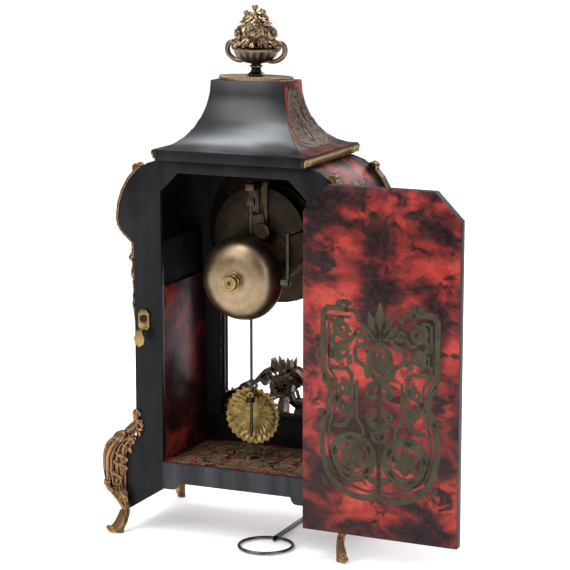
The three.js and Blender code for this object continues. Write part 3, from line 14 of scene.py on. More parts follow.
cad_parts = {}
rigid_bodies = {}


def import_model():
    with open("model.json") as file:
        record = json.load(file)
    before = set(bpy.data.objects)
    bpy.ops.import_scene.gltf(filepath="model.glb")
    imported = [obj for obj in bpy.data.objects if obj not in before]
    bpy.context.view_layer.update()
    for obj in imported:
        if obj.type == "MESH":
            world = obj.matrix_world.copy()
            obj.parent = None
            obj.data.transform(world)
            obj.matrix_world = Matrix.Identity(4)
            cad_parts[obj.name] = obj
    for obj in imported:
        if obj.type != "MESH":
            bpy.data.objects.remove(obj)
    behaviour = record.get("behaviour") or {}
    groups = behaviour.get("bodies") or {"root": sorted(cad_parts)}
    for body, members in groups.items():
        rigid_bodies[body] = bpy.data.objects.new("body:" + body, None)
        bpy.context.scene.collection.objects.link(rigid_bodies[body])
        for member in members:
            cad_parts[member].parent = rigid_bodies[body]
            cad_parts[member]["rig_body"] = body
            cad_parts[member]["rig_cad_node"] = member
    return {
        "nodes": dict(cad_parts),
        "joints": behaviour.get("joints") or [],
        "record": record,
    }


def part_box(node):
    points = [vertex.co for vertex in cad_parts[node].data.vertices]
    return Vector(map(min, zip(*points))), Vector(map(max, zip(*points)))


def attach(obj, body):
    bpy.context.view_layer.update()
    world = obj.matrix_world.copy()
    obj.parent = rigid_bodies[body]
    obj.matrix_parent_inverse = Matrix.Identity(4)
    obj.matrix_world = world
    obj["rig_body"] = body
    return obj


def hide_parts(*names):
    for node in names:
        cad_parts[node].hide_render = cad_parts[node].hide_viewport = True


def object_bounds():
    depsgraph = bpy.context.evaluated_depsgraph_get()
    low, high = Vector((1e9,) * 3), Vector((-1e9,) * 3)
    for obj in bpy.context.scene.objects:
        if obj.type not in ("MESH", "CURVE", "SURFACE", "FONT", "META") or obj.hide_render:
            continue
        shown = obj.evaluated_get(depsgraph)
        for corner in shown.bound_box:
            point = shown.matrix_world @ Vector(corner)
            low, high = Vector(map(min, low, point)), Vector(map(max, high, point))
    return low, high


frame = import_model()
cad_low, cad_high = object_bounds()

MM = 0.001
nodes = frame["nodes"]
record = frame["record"]
body_of = {name: body for body, names in record["behaviour"]["bodies"].items() for name in names}
slot_of = {row["node"]: row["material_slot"] for row in record["subparts"]}

# %% [markdown]
# The photographer stood behind the clock, a little to its left, and looked slightly down.
# A long lens keeps the uprights nearly parallel, so the camera stands about two metres away.

# %% Camera
CAMERA_PLACE = Vector((-0.8300, 1.8303, 0.5543))
CAMERA_YAW = 0.413  # radians, from straight towards the front
CAMERA_PITCH = 0.188  # radians, downwards
FOCAL_SHARE = 2261.6 / 570  # focal length over picture width
SENSOR = 36.0

bpy.ops.object.camera_add(location=CAMERA_PLACE)
camera = bpy.context.object
camera.name = "camera"
looking = Vector((
    math.sin(CAMERA_YAW) * math.cos(CAMERA_PITCH),
    -math.cos(CAMERA_YAW) * math.cos(CAMERA_PITCH),
    -math.sin(CAMERA_PITCH),
))
camera.rotation_euler = looking.to_track_quat("-Z", "Y").to_euler()
camera.data.sensor_width = SENSOR
camera.data.lens = FOCAL_SHARE * SENSOR
camera.data.clip_start = 0.05
camera.data.clip_end = 50
bpy.context.scene.camera = camera
print("camera lens:", round(camera.data.lens, 1), "mm")

# %% [markdown]
# Two small habits make operators safe. Everything is deselected before a piece is made active,
# and whatever is done in edit mode is done to a selection that was chosen in code.

# %% Working with one piece at a time
def only(piece):
    """Selects this piece alone and makes it the active one."""
    if bpy.context.object and bpy.context.object.mode != "OBJECT":
        bpy.ops.object.mode_set(mode="OBJECT")
    bpy.ops.object.select_all(action="DESELECT")
    piece.select_set(True)
    bpy.context.view_layer.objects.active = piece
    return piece


def edit(piece, wanted=None):
    """Opens edit mode with the faces selected that wanted(face) accepts, or all of them."""
    only(piece)
    bpy.ops.object.mode_set(mode="EDIT")
    bpy.ops.mesh.select_mode(type="FACE")
    bpy.ops.mesh.select_all(action="SELECT" if wanted is None else "DESELECT")
    if wanted is not None:
        bpy.ops.object.mode_set(mode="OBJECT")
        for face in piece.data.polygons:
            face.select = bool(wanted(face))
        bpy.ops.object.mode_set(mode="EDIT")


def done():
    bpy.ops.object.mode_set(mode="OBJECT")


def place(piece):
    """Moves the object's place, turn and size into its mesh."""
    only(piece)
    bpy.ops.object.transform_apply(location=True, rotation=True, scale=True)
    return piece


def modify(piece, kind, **settings):
    """Adds one modifier with these settings and applies it."""
    only(piece)
    modifier = piece.modifiers.new(kind.lower(), kind)
    for name, value in settings.items():
        setattr(modifier, name, value)
    bpy.ops.object.modifier_apply(modifier=modifier.name)
    return piece


def smooth(piece, degrees=35):
    only(piece)
    bpy.ops.object.shade_smooth_by_angle(angle=math.radians(degrees))
    return piece


def joined(pieces, name):
    """Makes one piece of several."""
    only(pieces[0])
    for piece in pieces:
        piece.select_set(True)
    bpy.ops.object.join()
    return named(pieces[0], name)


def named(piece, name):
    piece.name = name
    piece.data.name = name
    return piece


def finished(piece, name, finishes, body, stands_for=()):
    """Names a piece, gives it its finishes and lets it ride on its body."""
    named(piece, name)
    if finishes:
        piece.data.materials.clear()
        for finish in finishes:
            piece.data.materials.append(finish)
    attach(piece, body)
    if stands_for:
        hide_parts(*stands_for)
    return piece


def stand_in(piece, name, finishes, node):
    """Finishes a piece that takes the place of one node of the frame."""
    return finished(piece, name, finishes, body_of[node], (node,))


# %% [markdown]
# The stage is plain: a pale floor that runs out of sight, a white surround, a large soft lamp high
# on the left of the photographer, a weaker one on the right, a long one overhead that draws the
# highlight on the roof's black back, and one that lights the front.

# %% Stage and light
def stage_finish():
    material = bpy.data.materials.new("pale_floor")
    material.use_nodes = True
    tree = material.node_tree
    shader = tree.nodes["Principled BSDF"]
    shader.inputs["Roughness"].default_value = 0.9
    mottle = tree.nodes.new("ShaderNodeTexNoise")
    mottle.inputs["Scale"].default_value = 3
    tones = tree.nodes.new("ShaderNodeValToRGB")
    tones.color_ramp.elements[0].color = (0.92, 0.92, 0.92, 1)
    tones.color_ramp.elements[1].color = (0.95, 0.95, 0.95, 1)
    shader.inputs["Emission Color"].default_value = (1, 1, 1, 1)
    shader.inputs["Emission Strength"].default_value = 0.2
    tree.links.new(mottle.outputs["Fac"], tones.inputs["Fac"])
    tree.links.new(tones.outputs["Color"], shader.inputs["Base Color"])
    return material


def lamp(name, place_at, aim, size, watts, colour=(1, 1, 1)):
    bpy.ops.object.light_add(type="AREA", location=place_at)
    light = bpy.context.object
    light.name = name
    light.data.shape = "RECTANGLE"
    light.data.size, light.data.size_y = size
    light.data.energy = watts
    light.data.color = colour
    light.rotation_euler = (Vector(aim) - Vector(place_at)).to_track_quat("-Z", "Y").to_euler()
    return light


bpy.ops.mesh.primitive_plane_add(size=40, location=(0, 0, cad_low.z))
floor = named(bpy.context.object, "floor")
floor.data.materials.append(stage_finish())

world = bpy.context.scene.world or bpy.data.worlds.new("surround")
bpy.context.scene.world = world
world.use_nodes = True
surround = world.node_tree.nodes["Background"]
surround.inputs["Color"].default_value = (1, 1, 1, 1)
rays = world.node_tree.nodes.new("ShaderNodeLightPath")
strength = world.node_tree.nodes.new("ShaderNodeMapRange")
strength.inputs["To Min"].default_value = 1.0
strength.inputs["To Max"].default_value = 0.3  # a dark studio in what polished faces mirror
world.node_tree.links.new(rays.outputs["Is Glossy Ray"], strength.inputs["Value"])
world.node_tree.links.new(strength.outputs["Result"], surround.inputs["Strength"])

MIDDLE = (0, 0, 0.2)
lamp("key_lamp", (0.9, 1.6, 1.5), MIDDLE, (1.2, 1.2), 17)
lamp("fill_lamp", (-1.8, 1.2, 0.8), MIDDLE, (1.0, 1.4), 12)
lamp("roof_lamp", (0.48, 0.16, 1.65), (0, 0.05, 0.33), (1.7, 0.4), 24, (0.90, 0.95, 1.0))
lamp("front_lamp", (-0.6, -1.8, 1.4), MIDDLE, (1.6, 1.2), 16)
bpy.context.scene.view_settings.view_transform = "Standard"
print("stage: floor and four lamps")

# %% [markdown]
# A finish is built once and used on many pieces. This small class keeps the wiring short: it
# adds a node with its settings, and joins two sockets. Patterns are laid out in object
# coordinates, in metres, so a scale of 30 makes marks of about 30 millimetres.

# %% A finish under construction
class Finish:
    def __init__(self, name, roughness=0.5, metallic=0.0, coat=0.0, specular=0.5):
        self.material = bpy.data.materials.new(name)
        self.material.use_nodes = True
        self.tree = self.material.node_tree
        self.shader = self.tree.nodes["Principled BSDF"]
        self.shader.inputs["Roughness"].default_value = roughness
        self.shader.inputs["Metallic"].default_value = metallic
        self.shader.inputs["Coat Weight"].default_value = coat
        self.shader.inputs["Coat Roughness"].default_value = 0.12
        self.shader.inputs["Specular IOR Level"].default_value = specular

    def add(self, kind, **settings):
        node = self.tree.nodes.new("ShaderNode" + kind)
        for key, value in settings.items():
            label = key.replace("_", " ").title()
            if label in node.inputs:
                node.inputs[label].default_value = value
            else:
                setattr(node, key, value)
        return node

    def wire(self, source, target):
        self.tree.links.new(source, target)

    def coordinates(self, stretch=(1, 1, 1), shift=(0, 0, 0)):
        """Object coordinates, stretched and then moved by shift."""
        here = self.add("TexCoord")
        mapping = self.add("Mapping")
        mapping.vector_type = "POINT"
        mapping.inputs["Location"].default_value = shift
        mapping.inputs["Scale"].default_value = stretch
        self.wire(here.outputs["Object"], mapping.inputs["Vector"])
        return mapping.outputs["Vector"]

    def noise(self, scale, detail=4, rough=0.5, distortion=0, **layout):
        node = self.add("TexNoise", scale=scale, detail=detail, roughness=rough, distortion=distortion)
        self.wire(self.coordinates(**layout), node.inputs["Vector"])
        return node.outputs["Fac"]

    def ramp(self, source, stops):
        """A colour ramp from (position, grey or colour) stops."""
        node = self.add("ValToRGB")
        elements = node.color_ramp.elements
        while len(elements) < len(stops):
            elements.new(0.5)
        for element, (position, colour) in zip(elements, stops):
            element.position = position
            shade = (colour,) * 3 if isinstance(colour, (int, float)) else colour
            element.color = (*shade, 1)
        self.wire(source, node.inputs["Fac"])
        return node.outputs["Color"]

    def mix(self, share, first, second, blend="MIX"):
        node = self.add("Mix", data_type="RGBA", blend_type=blend)
        for source, target in ((share, node.inputs[0]), (first, node.inputs[6]), (second, node.inputs[7])):
            if isinstance(source, (int, float)):
                target.default_value = source
            elif isinstance(source, tuple):
                target.default_value = (*source, 1)
            else:
                self.wire(source, target)
        return node.outputs[2]

    def colour(self, source):
        self.wire(source, self.shader.inputs["Base Color"])

    def gloss(self, source, low, high):
        self.wire(self.ramp(source, [(0.2, low), (0.8, high)]), self.shader.inputs["Roughness"])

    def bump(self, source, depth, strength=0.5):
        node = self.add("Bump")
        node.inputs["Strength"].default_value = strength
        node.inputs["Distance"].default_value = depth
        self.wire(source, node.inputs["Height"])
        self.wire(node.outputs["Normal"], self.shader.inputs["Normal"])


# %% [markdown]
# Red tortoiseshell is a clear shell glued over red paint. Light comes back from the paint where
# the shell is pale and is swallowed where it is dark, so the colour is a ramp from near black
# over maroon to bright red, driven by warped noise, and the polish on top is a separate coat.

# %% Tortoiseshell
def tortoiseshell(name, light=1.0, stretch=(1, 1, 1), shift=(0, 0, 0)):
    finish = Finish(name, roughness=0.3, coat=0.06, specular=0.15)
    clouds = finish.noise(24, detail=6, rough=0.58, distortion=0.45, stretch=stretch, shift=shift)
    reds = finish.ramp(clouds, [
        (0.36, (0.008 * light, 0.003 * light, 0.004 * light)),
        (0.43, (0.045 * light, 0.008 * light, 0.009 * light)),
        (0.49, (0.170 * light, 0.017 * light, 0.016 * light)),
        (0.57, (0.390 * light, 0.036 * light, 0.027 * light)),
        (0.70, (0.600 * light, 0.080 * light, 0.050 * light)),
    ])
    spots = finish.noise(62, detail=5, rough=0.62, distortion=0.6, stretch=stretch, shift=shift)
    dark = finish.ramp(spots, [(0.38, 1.0), (0.50, 0.0)])
    blotched = finish.mix(dark, reds, (0.014, 0.004, 0.005))
    haze = finish.noise(190, detail=3)
    worn = finish.mix(finish.ramp(haze, [(0.45, 0.0), (0.75, 0.35)]), blotched, (0.06, 0.025, 0.02))
    finish.colour(worn)
    finish.gloss(haze, 0.24, 0.42)
    finish.bump(haze, 0.00008, 0.3)
    return finish.material


# %% [markdown]
# Black lacquer is never quite black: it greys with age, shows the grain of the pearwood below
# as faint upright streaks, and rubs through to a dull grey where hands and cloths pass.

# %% Lacquer and plain wood
def lacquer(name, base=0.003, streak=0.010, rough=(0.3, 0.5), specular=0.16):
    finish = Finish(name, specular=specular)
    grain = finish.noise(60, detail=5, rough=0.6, stretch=(1, 1, 0.08))
    streaks = finish.ramp(grain, [
        (0.42, (base, base, 1.25 * base)),
        (0.74, (streak, streak, 1.15 * streak)),
    ])
    scuffs = finish.noise(25, detail=6, rough=0.75)
    grey = finish.ramp(scuffs, [(0.56, 0.0), (0.78, 0.45)])
    finish.colour(finish.mix(grey, streaks, (2 * streak, 2 * streak, 2.2 * streak)))
    finish.gloss(scuffs, *rough)
    finish.bump(grain, 0.0001, 0.35)
    return finish.material


def stained_wood(name, dark, pale):
    finish = Finish(name, roughness=0.6, specular=0.3)
    grain = finish.noise(35, detail=6, rough=0.6, distortion=0.4, stretch=(0.12, 1, 1))
    finish.colour(finish.ramp(grain, [(0.35, dark), (0.7, pale)]))
    finish.bump(grain, 0.0003, 0.5)
    return finish.material


# %% [markdown]
# Fire-gilt bronze is bright where it is rubbed and brown in its hollows, and the hollow colour is
# also darkened as painted shade. Pointiness, which compares each corner of the mesh with its
# neighbours, finds both, so every gilt mount needs a mesh fine enough to have corners in its hollows.

# %% Metals
def cast_metal(name, bright, middle, hollow, rough=(0.24, 0.48), grain=260, depth=0.00012):
    finish = Finish(name, metallic=1.0)
    geometry = finish.add("NewGeometry")
    # the hollow colour is patina darkened further as painted shade in the recesses
    relief = finish.ramp(geometry.outputs["Pointiness"], [
        (0.455, hollow), (0.495, middle), (0.545, bright),
    ])
    patina = finish.noise(grain, detail=5, rough=0.65)
    stain = finish.ramp(patina, [(0.45, 0.0), (0.8, 0.6)])
    finish.colour(finish.mix(stain, relief, hollow))
    finish.gloss(patina, *rough)
    finish.bump(patina, depth, 0.45)
    return finish.material


def plain_metal(name, pale, dark, rough=(0.25, 0.45), scale=120, stretch=(1, 1, 1), metallic=1.0):
    finish = Finish(name, metallic=metallic)
    patina = finish.noise(scale, detail=6, rough=0.7, stretch=stretch)
    finish.colour(finish.ramp(patina, [(0.3, dark), (0.7, pale)]))
    finish.gloss(patina, *rough)
    finish.bump(patina, 0.00005, 0.35)
    return finish.material


def turned_metal(name, pale, dark, centre, lines=900, rough=(0.26, 0.4)):
    """Metal from a lathe whose axis runs along Y: fine rings round the centre."""
    finish = Finish(name, metallic=1.0)
    shift = (-centre.x, 0, -centre.z)
    rings = finish.add("TexWave", wave_type="RINGS", rings_direction="Y", wave_profile="SIN")
    rings.inputs["Scale"].default_value = lines / 20
    rings.inputs["Distortion"].default_value = 0.4
    rings.inputs["Detail"].default_value = 3
    finish.wire(finish.coordinates(shift=shift), rings.inputs["Vector"])
    patina = finish.noise(60, detail=6, rough=0.7)
    tone = finish.ramp(patina, [(0.3, dark), (0.65, pale)])
    finish.colour(finish.mix(0.12, tone, rings.outputs["Color"], "MULTIPLY"))
    finish.gloss(patina, *rough)
    finish.bump(rings.outputs["Fac"], 0.00004, 0.3)
    return finish.material


# %% [markdown]
# Enamel is a glassy white with a breath of cloudiness, ink is fired into it, and old window
# glass is clear with a very slight wave. Lamps shine through the pane without a dark shadow.

# %% Enamel, ink and glass
def enamel(name):
    finish = Finish(name, roughness=0.16, coat=0.4)
    clouds = finish.noise(70, detail=4)
    finish.colour(finish.ramp(clouds, [(0.3, (0.72, 0.70, 0.63)), (0.7, (0.86, 0.85, 0.80))]))
    finish.gloss(clouds, 0.12, 0.26)
    return finish.material


def fired_ink(name):
    finish = Finish(name, roughness=0.3)
    wear = finish.noise(300, detail=4)
    finish.colour(finish.ramp(wear, [(0.3, (0.008, 0.010, 0.030)), (0.75, (0.02, 0.025, 0.07))]))
    return finish.material


def window_glass(name):
    finish = Finish(name, roughness=0.02)
    finish.shader.inputs["Transmission Weight"].default_value = 1.0
    finish.shader.inputs["IOR"].default_value = 1.3
    tint = finish.noise(12, detail=2)
    finish.colour(finish.ramp(tint, [(0.3, (0.93, 0.95, 0.95)), (0.7, (0.97, 0.98, 0.98))]))
    finish.bump(tint, 0.0002, 0.15)
    rays = finish.add("LightPath")
    clear = finish.add("MapRange")
    clear.inputs["To Min"].default_value = 1.0
    clear.inputs["To Max"].default_value = 0.1
    finish.wire(rays.outputs["Is Shadow Ray"], clear.inputs["Value"])
    finish.wire(clear.outputs["Result"], finish.shader.inputs["Alpha"])
    return finish.material


# three copies of one shell at three brightnesses; the lining's copy is the darkest, painted shade for the
# inside of the case
shell_door = tortoiseshell("shell_door", light=0.66, stretch=(0.8, 1, 1.1))
shell_case = tortoiseshell("shell_case", light=0.55, shift=(0.3, 0.1, 0.2))
shell_inside_shaded = tortoiseshell("shell_inside_shaded", light=0.35, shift=(0.7, 0.3, 0.1))
black = lacquer("black_lacquer")
polished_black = lacquer("polished_black", rough=(0.24, 0.36), specular=0.6)
paler_grey = lacquer("paler_grey_lacquer", base=0.012, streak=0.042, rough=(0.45, 0.65), specular=0.25)
inside_black = lacquer("inside_black", base=0.004, streak=0.012, rough=(0.5, 0.7))
oak = stained_wood("stained_oak", (0.03, 0.016, 0.009), (0.10, 0.055, 0.03))
gilt = cast_metal("gilt_bronze", (0.29, 0.165, 0.080), (0.092, 0.047, 0.023), (0.010, 0.006, 0.004))
brass = plain_metal("aged_brass", (0.44, 0.31, 0.13), (0.17, 0.11, 0.045))
dull_brass = plain_metal("dull_brass", (0.13, 0.092, 0.052), (0.045, 0.031, 0.019), rough=(0.4, 0.6))
dark_brass = plain_metal("dark_brass", (0.055, 0.041, 0.027), (0.020, 0.015, 0.011), rough=(0.42, 0.62))
steel = plain_metal("grey_steel", (0.36, 0.35, 0.34), (0.16, 0.15, 0.14), rough=(0.25, 0.45))
iron = plain_metal("dark_iron", (0.10, 0.092, 0.085), (0.03, 0.027, 0.025), rough=(0.35, 0.55))
blued = plain_metal("blued_steel", (0.03, 0.045, 0.11), (0.012, 0.014, 0.03), rough=(0.2, 0.35))
white_enamel = enamel("white_enamel")
ink = fired_ink("fired_ink")
glass = window_glass("window_glass")
print("finishes:", len(bpy.data.materials))

# %% [markdown]
# The carpenter's and the clockmaker's plain pieces keep the frame's shape. Each is a merged copy
# with its sharp edges eased by a small bevel, because a real edge always catches some light,
# and the bevel may carry its own finish. Curved sides are shaded smooth, flat ones stay flat.

# %% Eased copies of plain pieces
def merged_copy(node):
    """A copy of a CAD node with its loose triangles welded and its flat faces made whole."""
    only(nodes[node])
    bpy.ops.object.duplicate()
    copy = bpy.context.object
    copy.parent = None
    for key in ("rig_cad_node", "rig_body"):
        if key in copy:
            del copy[key]
    bpy.ops.mesh.customdata_custom_splitnormals_clear()
    edit(copy)
    bpy.ops.mesh.remove_doubles(threshold=0.005 * MM)
    bpy.ops.mesh.dissolve_limited(angle_limit=math.radians(0.6))
    done()
    return copy


def eased(node, finishes, bevel=0.4, angle=35, name=None):
    piece = merged_copy(node)
    if bevel:
        modify(
            piece, "BEVEL", width=bevel * MM, segments=2, limit_method="ANGLE",
            angle_limit=math.radians(30), material=len(finishes) - 1,
        )
    smooth(piece, angle)
    return stand_in(piece, name or node + "_made", None, node)


def dress(piece, finishes, choose=None):
    """Gives the faces their finishes; choose(face) says which one, and the bevels keep the last."""
    mesh = piece.data
    marks = [face.material_index for face in mesh.polygons]
    mesh.materials.clear()
    for finish in finishes:
        mesh.materials.append(finish)
    for face, mark in zip(mesh.polygons, marks):
        bevelled = mark == len(finishes) - 1 and len(finishes) > 1
        face.material_index = mark if bevelled or choose is None else choose(face)
    return piece


PLAIN_PIECES = {
    "base_board": ([shell_case, oak], 0.3),
    "cornice_board": ([black], 0.5),
    "back_hinge_strap_lower": ([brass], 0.2),
    "back_hinge_strap_upper": ([brass], 0.2),
    "back_hinge_leaf_lower": ([brass], 0.2),
    "back_hinge_leaf_upper": ([brass], 0.2),
    "latch_hook": ([brass], 0.3),
    "latch_screw": ([dark_brass], 0.2),
    "front_glass": ([glass], 0),
    "front_hinge_strap": ([dull_brass], 0.2),
    "front_hinge_leaf": ([dull_brass], 0.2),
    "hour_hand": ([blued], 0.15),
    "minute_hand": ([blued], 0.15),
    "hand_nut": ([brass], 0.2),
    "front_plate": ([dull_brass], 0.3),
    "back_plate": ([dark_brass], 0.3),
    "going_barrel": ([dull_brass], 0),
    "going_winding_arbor": ([steel], 0),
    "strike_barrel": ([dull_brass], 0),
    "strike_winding_arbor": ([steel], 0),
    "count_wheel": ([dull_brass], 0),
    "centre_arbor": ([dull_brass], 0),
    "third_wheel": ([dull_brass], 0),
    "escape_wheel": ([dull_brass], 0),
    "anchor_crutch": ([iron], 0.1),
    "suspension_cock": ([dull_brass], 0.3),
    "pendulum_rod": ([iron], 0.1),
    "rating_nut": ([dark_brass], 0.3),
    "bell_stand": ([iron], 0.3),
    "strike_hammer": ([iron], 0.3),
}
for node, (finishes, bevel) in PLAIN_PIECES.items():
    dress(eased(node, finishes, bevel), finishes)
print("plain pieces:", len(PLAIN_PIECES))

# %% [markdown]
# The case is veneered differently on every side: black lacquer behind, tortoiseshell on the flanks,
# the front and the shoulders, plain dark wood inside. One copy of each board is enough if every
# face gets its finish by the way it looks.

# %% The wooden case
RAIL_HALF_WIDTH = 70.5 * MM  # the lower back rail lies between the two stiles
floor_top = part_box("base_board")[1].z
rail_top = floor_top + 1 * MM
back_face_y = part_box("back_frame")[1].y


def facing(face, x=0, y=0, z=0):
    """How squarely a face looks in a direction, from -1 to 1."""
    return face.normal.dot(Vector((x, y, z)))


back = merged_copy("back_frame")
for side in (-1, 1):
    edit(back)
    bpy.ops.mesh.bisect(plane_co=(side * RAIL_HALF_WIDTH, 0, 0), plane_no=(1, 0, 0))
    done()
modify(back, "BEVEL", width=0.5 * MM, segments=2, limit_method="ANGLE", angle_limit=math.radians(30))
smooth(back)
back.data.materials.clear()
back.data.materials.append(black)
back.data.materials.append(paler_grey)
# the lower rail gets the paler grey lacquer
for face in back.data.polygons:
    on_rail = face.center.z < rail_top and abs(face.center.x) < RAIL_HALF_WIDTH
    face.material_index = 1 if on_rail else 0
finished(back, "back_face", None, "case", ("back_frame",))

CASE_BOARDS = {
    "front_frame": ([shell_case, inside_black, black], lambda face: 0 if facing(face, y=-1) > 0.5 else 1),
    "side_left": ([shell_case, inside_black, black], lambda face: 0 if facing(face, x=-1) > 0.05 else 1),
    "side_right": ([shell_case, inside_black, black], lambda face: 0 if facing(face, x=1) > 0.05 else 1),
    "lining_left": ([shell_inside_shaded, black], None),
    "lining_right": ([shell_inside_shaded, black], None),
    "front_door": ([shell_case, inside_black, black], lambda face: 0 if facing(face, y=-1) > 0.5 else 1),
}
for node, (finishes, choose) in CASE_BOARDS.items():
    dress(eased(node, finishes, 0.4), finishes, choose or (lambda face: 0))
print("case boards:", 1 + len(CASE_BOARDS))

# %% [markdown]
# The caddy roof is a hollow cove on four sides. Its back is lacquered black like the rest of the
# back, the other three sides are veneered, and their mitred corners show a thin red line.

# %% Roof
def on_roof_face(face):
    """Black behind, plain wood below and shell on the other three sides."""
    if face.center.y > 0 and facing(face, y=1) > abs(face.normal.x) and face.normal.z > 0:
        return 1
    return 2 if face.normal.z < -0.2 else 0


ROOF_FINISHES = [shell_case, polished_black, oak, shell_door]
roof = dress(eased("roof", ROOF_FINISHES, 0.5, angle=30), ROOF_FINISHES, on_roof_face)
print("roof faces:", len(roof.data.polygons))

# %% [markdown]
# The back door was cut from one board and veneered on both faces, with black edges. It stands
# open by nearly half a turn, so its inner face looks backwards, at the photographer. Its pieces
# are built where they are when it is open, because that is how the frame holds it.

# %% Back door
door_low, door_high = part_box("back_door")
door_joint = next(joint for joint in frame["joints"] if joint["name"] == "back_door_hinge")
door_slant = math.radians(180 - door_joint["range_deg"][1])
door_normal = Vector((math.sin(door_slant), math.cos(door_slant), 0))
door_centre = (door_low + door_high) / 2
DOOR_THICKNESS = 9 * MM


def on_door_face(face):
    """Shell on both faces, black edges, and a paler grey top edge."""
    if abs(face.normal.dot(door_normal)) > 0.7:
        return 0
    return 2 if face.normal.z > 0.3 else 1


DOOR_FINISHES = [shell_door, black, paler_grey, black]
door = dress(eased("back_door", DOOR_FINISHES, 0.6), DOOR_FINISHES, on_door_face)
print("door centre:", door_centre, "normal:", door_normal)

# %% [markdown]
# Boulle inlay is sheet metal sawn into straps, scrolls and leaves and let into the shell. Each
# strip is drawn as a line with a width at every point, swept with a flat section, made a mesh
# and given the thickness of the sheet. Everything is drawn for the right half and mirrored.

# %% Drawing straps, scrolls and leaves
def catmull(points, steps=7):
    """A smooth line through the points."""
    ends = [points[0], *points, points[-1]]
    line = []
    for a, b, c, d in zip(ends, ends[1:], ends[2:], ends[3:]):
        for step in range(steps):
            t = step / steps
            line.append(tuple(
                0.5 * (2 * q + (r - p) * t + (2 * p - 5 * q + 4 * r - s) * t * t
                       + (3 * q - p - 3 * r + s) * t ** 3)
                for p, q, r, s in zip(a, b, c, d)
            ))
    return [*line, tuple(points[-1])]


def strap(points, half, curved=False):
    line = catmull(points) if curved else points
    return [(x, y, half) for x, y in line]


def tapered(points, half, tip=0.15):
    """A curved strip that is widest in its middle."""
    line = catmull(points)
    last = len(line) - 1
    return [
        (x, y, half * (tip + (1 - tip) * math.sin(math.pi * i / last) ** 0.6))
        for i, (x, y) in enumerate(line)
    ]


def volute(x, y, radius, turns, start, half, hand=1):
    """A spiral that winds in from its outer end at the angle start, in degrees."""
    steps = int(18 * turns)
    line = []
    for i in range(steps + 1):
        share = i / steps
        angle = math.radians(start) + hand * 2 * math.pi * turns * share
        reach = radius * (1 - 0.86 * share)
        line.append((x + reach * math.cos(angle), y + reach * math.sin(angle), half * (1 - 0.45 * share)))
    return line


def ring(x, y, radius, half, tall=1.0, steps=36):
    line = []
    for i in range(steps + 1):
        angle = 2 * math.pi * i / steps
        line.append((x + radius * math.cos(angle), y + tall * radius * math.sin(angle), half))
    return line


def leaf(x, y, angle, length, half, bend=0.25):
    """A pointed leaf from (x, y) that leaves at the angle, in degrees, and bends to one side."""
    turn = math.radians(angle)
    along = (math.cos(turn), math.sin(turn))
    across = (-along[1], along[0])
    line = []
    for i in range(9):
        t = i / 8
        sway = bend * length * math.sin(math.pi * t / 2) ** 2
        line.append((
            x + along[0] * length * t + across[0] * sway,
            y + along[1] * length * t + across[1] * sway,
            half * (0.08 + 0.92 * math.sin(math.pi * t ** 0.8)),
        ))
    return line


def rosette(x, y, radius, petals=6):
    lines = [ring(x, y, 0.2 * radius, 0.09 * radius, steps=12)]
    for i in range(petals):
        angle = 360 * i / petals + 20
        start = 0.3 * radius
        turn = math.radians(angle)
        foot_x = x + start * math.cos(turn)
        foot_y = y + start * math.sin(turn)
        lines.append(leaf(foot_x, foot_y, angle, 0.7 * radius, 0.2 * radius, 0.12))
    return lines


def mirrored(lines):
    return lines + [[(-x, y, half) for x, y, half in line] for line in lines]


def scaled(lines, across, up, fat=1.0, x=0, y=0):
    return [[(x + across * px, y + up * py, fat * half) for px, py, half in line] for line in lines]


# %% [markdown]
# The strips are swept in the XY plane, then laid on their side of the case, pressed on to the
# veneer where it is curved, and thickened outwards.

# %% Laying inlay on a surface
LAID = {  # turns that bring a drawing to face a side, in degrees
    "front": (90, 0, 0), "back": (90, 0, 180), "right": (90, 0, 90), "left": (90, 0, -90), "up": (0, 0, 0),
}
SHEET = 0.35 * MM

section_data = bpy.data.curves.new("strip_section", "CURVE")
section_line = section_data.splines.new("POLY")
section_line.points.add(1)
section_line.points[0].co = (-MM, 0, 0, 1)
section_line.points[1].co = (MM, 0, 0, 1)
strip_section = bpy.data.objects.new("strip_section", section_data)
bpy.context.collection.objects.link(strip_section)
strip_section.hide_render = True


def swept(lines, name):
    """Flat ribbons in the XY plane, from lines of (x, y, half width) in millimetres."""
    curve = bpy.data.curves.new(name, "CURVE")
    curve.dimensions = "3D"
    curve.twist_mode = "Z_UP"
    curve.bevel_mode = "OBJECT"
    curve.bevel_object = strip_section
    for line in lines:
        spline = curve.splines.new("POLY")
        spline.points.add(len(line) - 1)
        for point, (x, y, half) in zip(spline.points, line):
            point.co = (x * MM, y * MM, 0, 1)
            point.radius = half
    piece = bpy.data.objects.new(name, curve)
    bpy.context.collection.objects.link(piece)
    only(piece)
    bpy.ops.object.convert(target="MESH")
    return bpy.context.object


def laid(piece, side, at, slant=0.0):
    """Turns a drawing towards a side of the case and moves its origin to a place."""
    turn = [math.radians(degrees) for degrees in LAID[side]]
    piece.rotation_euler = (turn[0], turn[1], turn[2] + slant)
    piece.location = at
    return place(piece)


SIDE_OUTWARD = {
    "front": Vector((0, -1, 0)), "back": Vector((0, 1, 0)), "right": Vector((1, 0, 0)),
    "left": Vector((-1, 0, 0)), "up": Vector((0, 0, 1)),
}


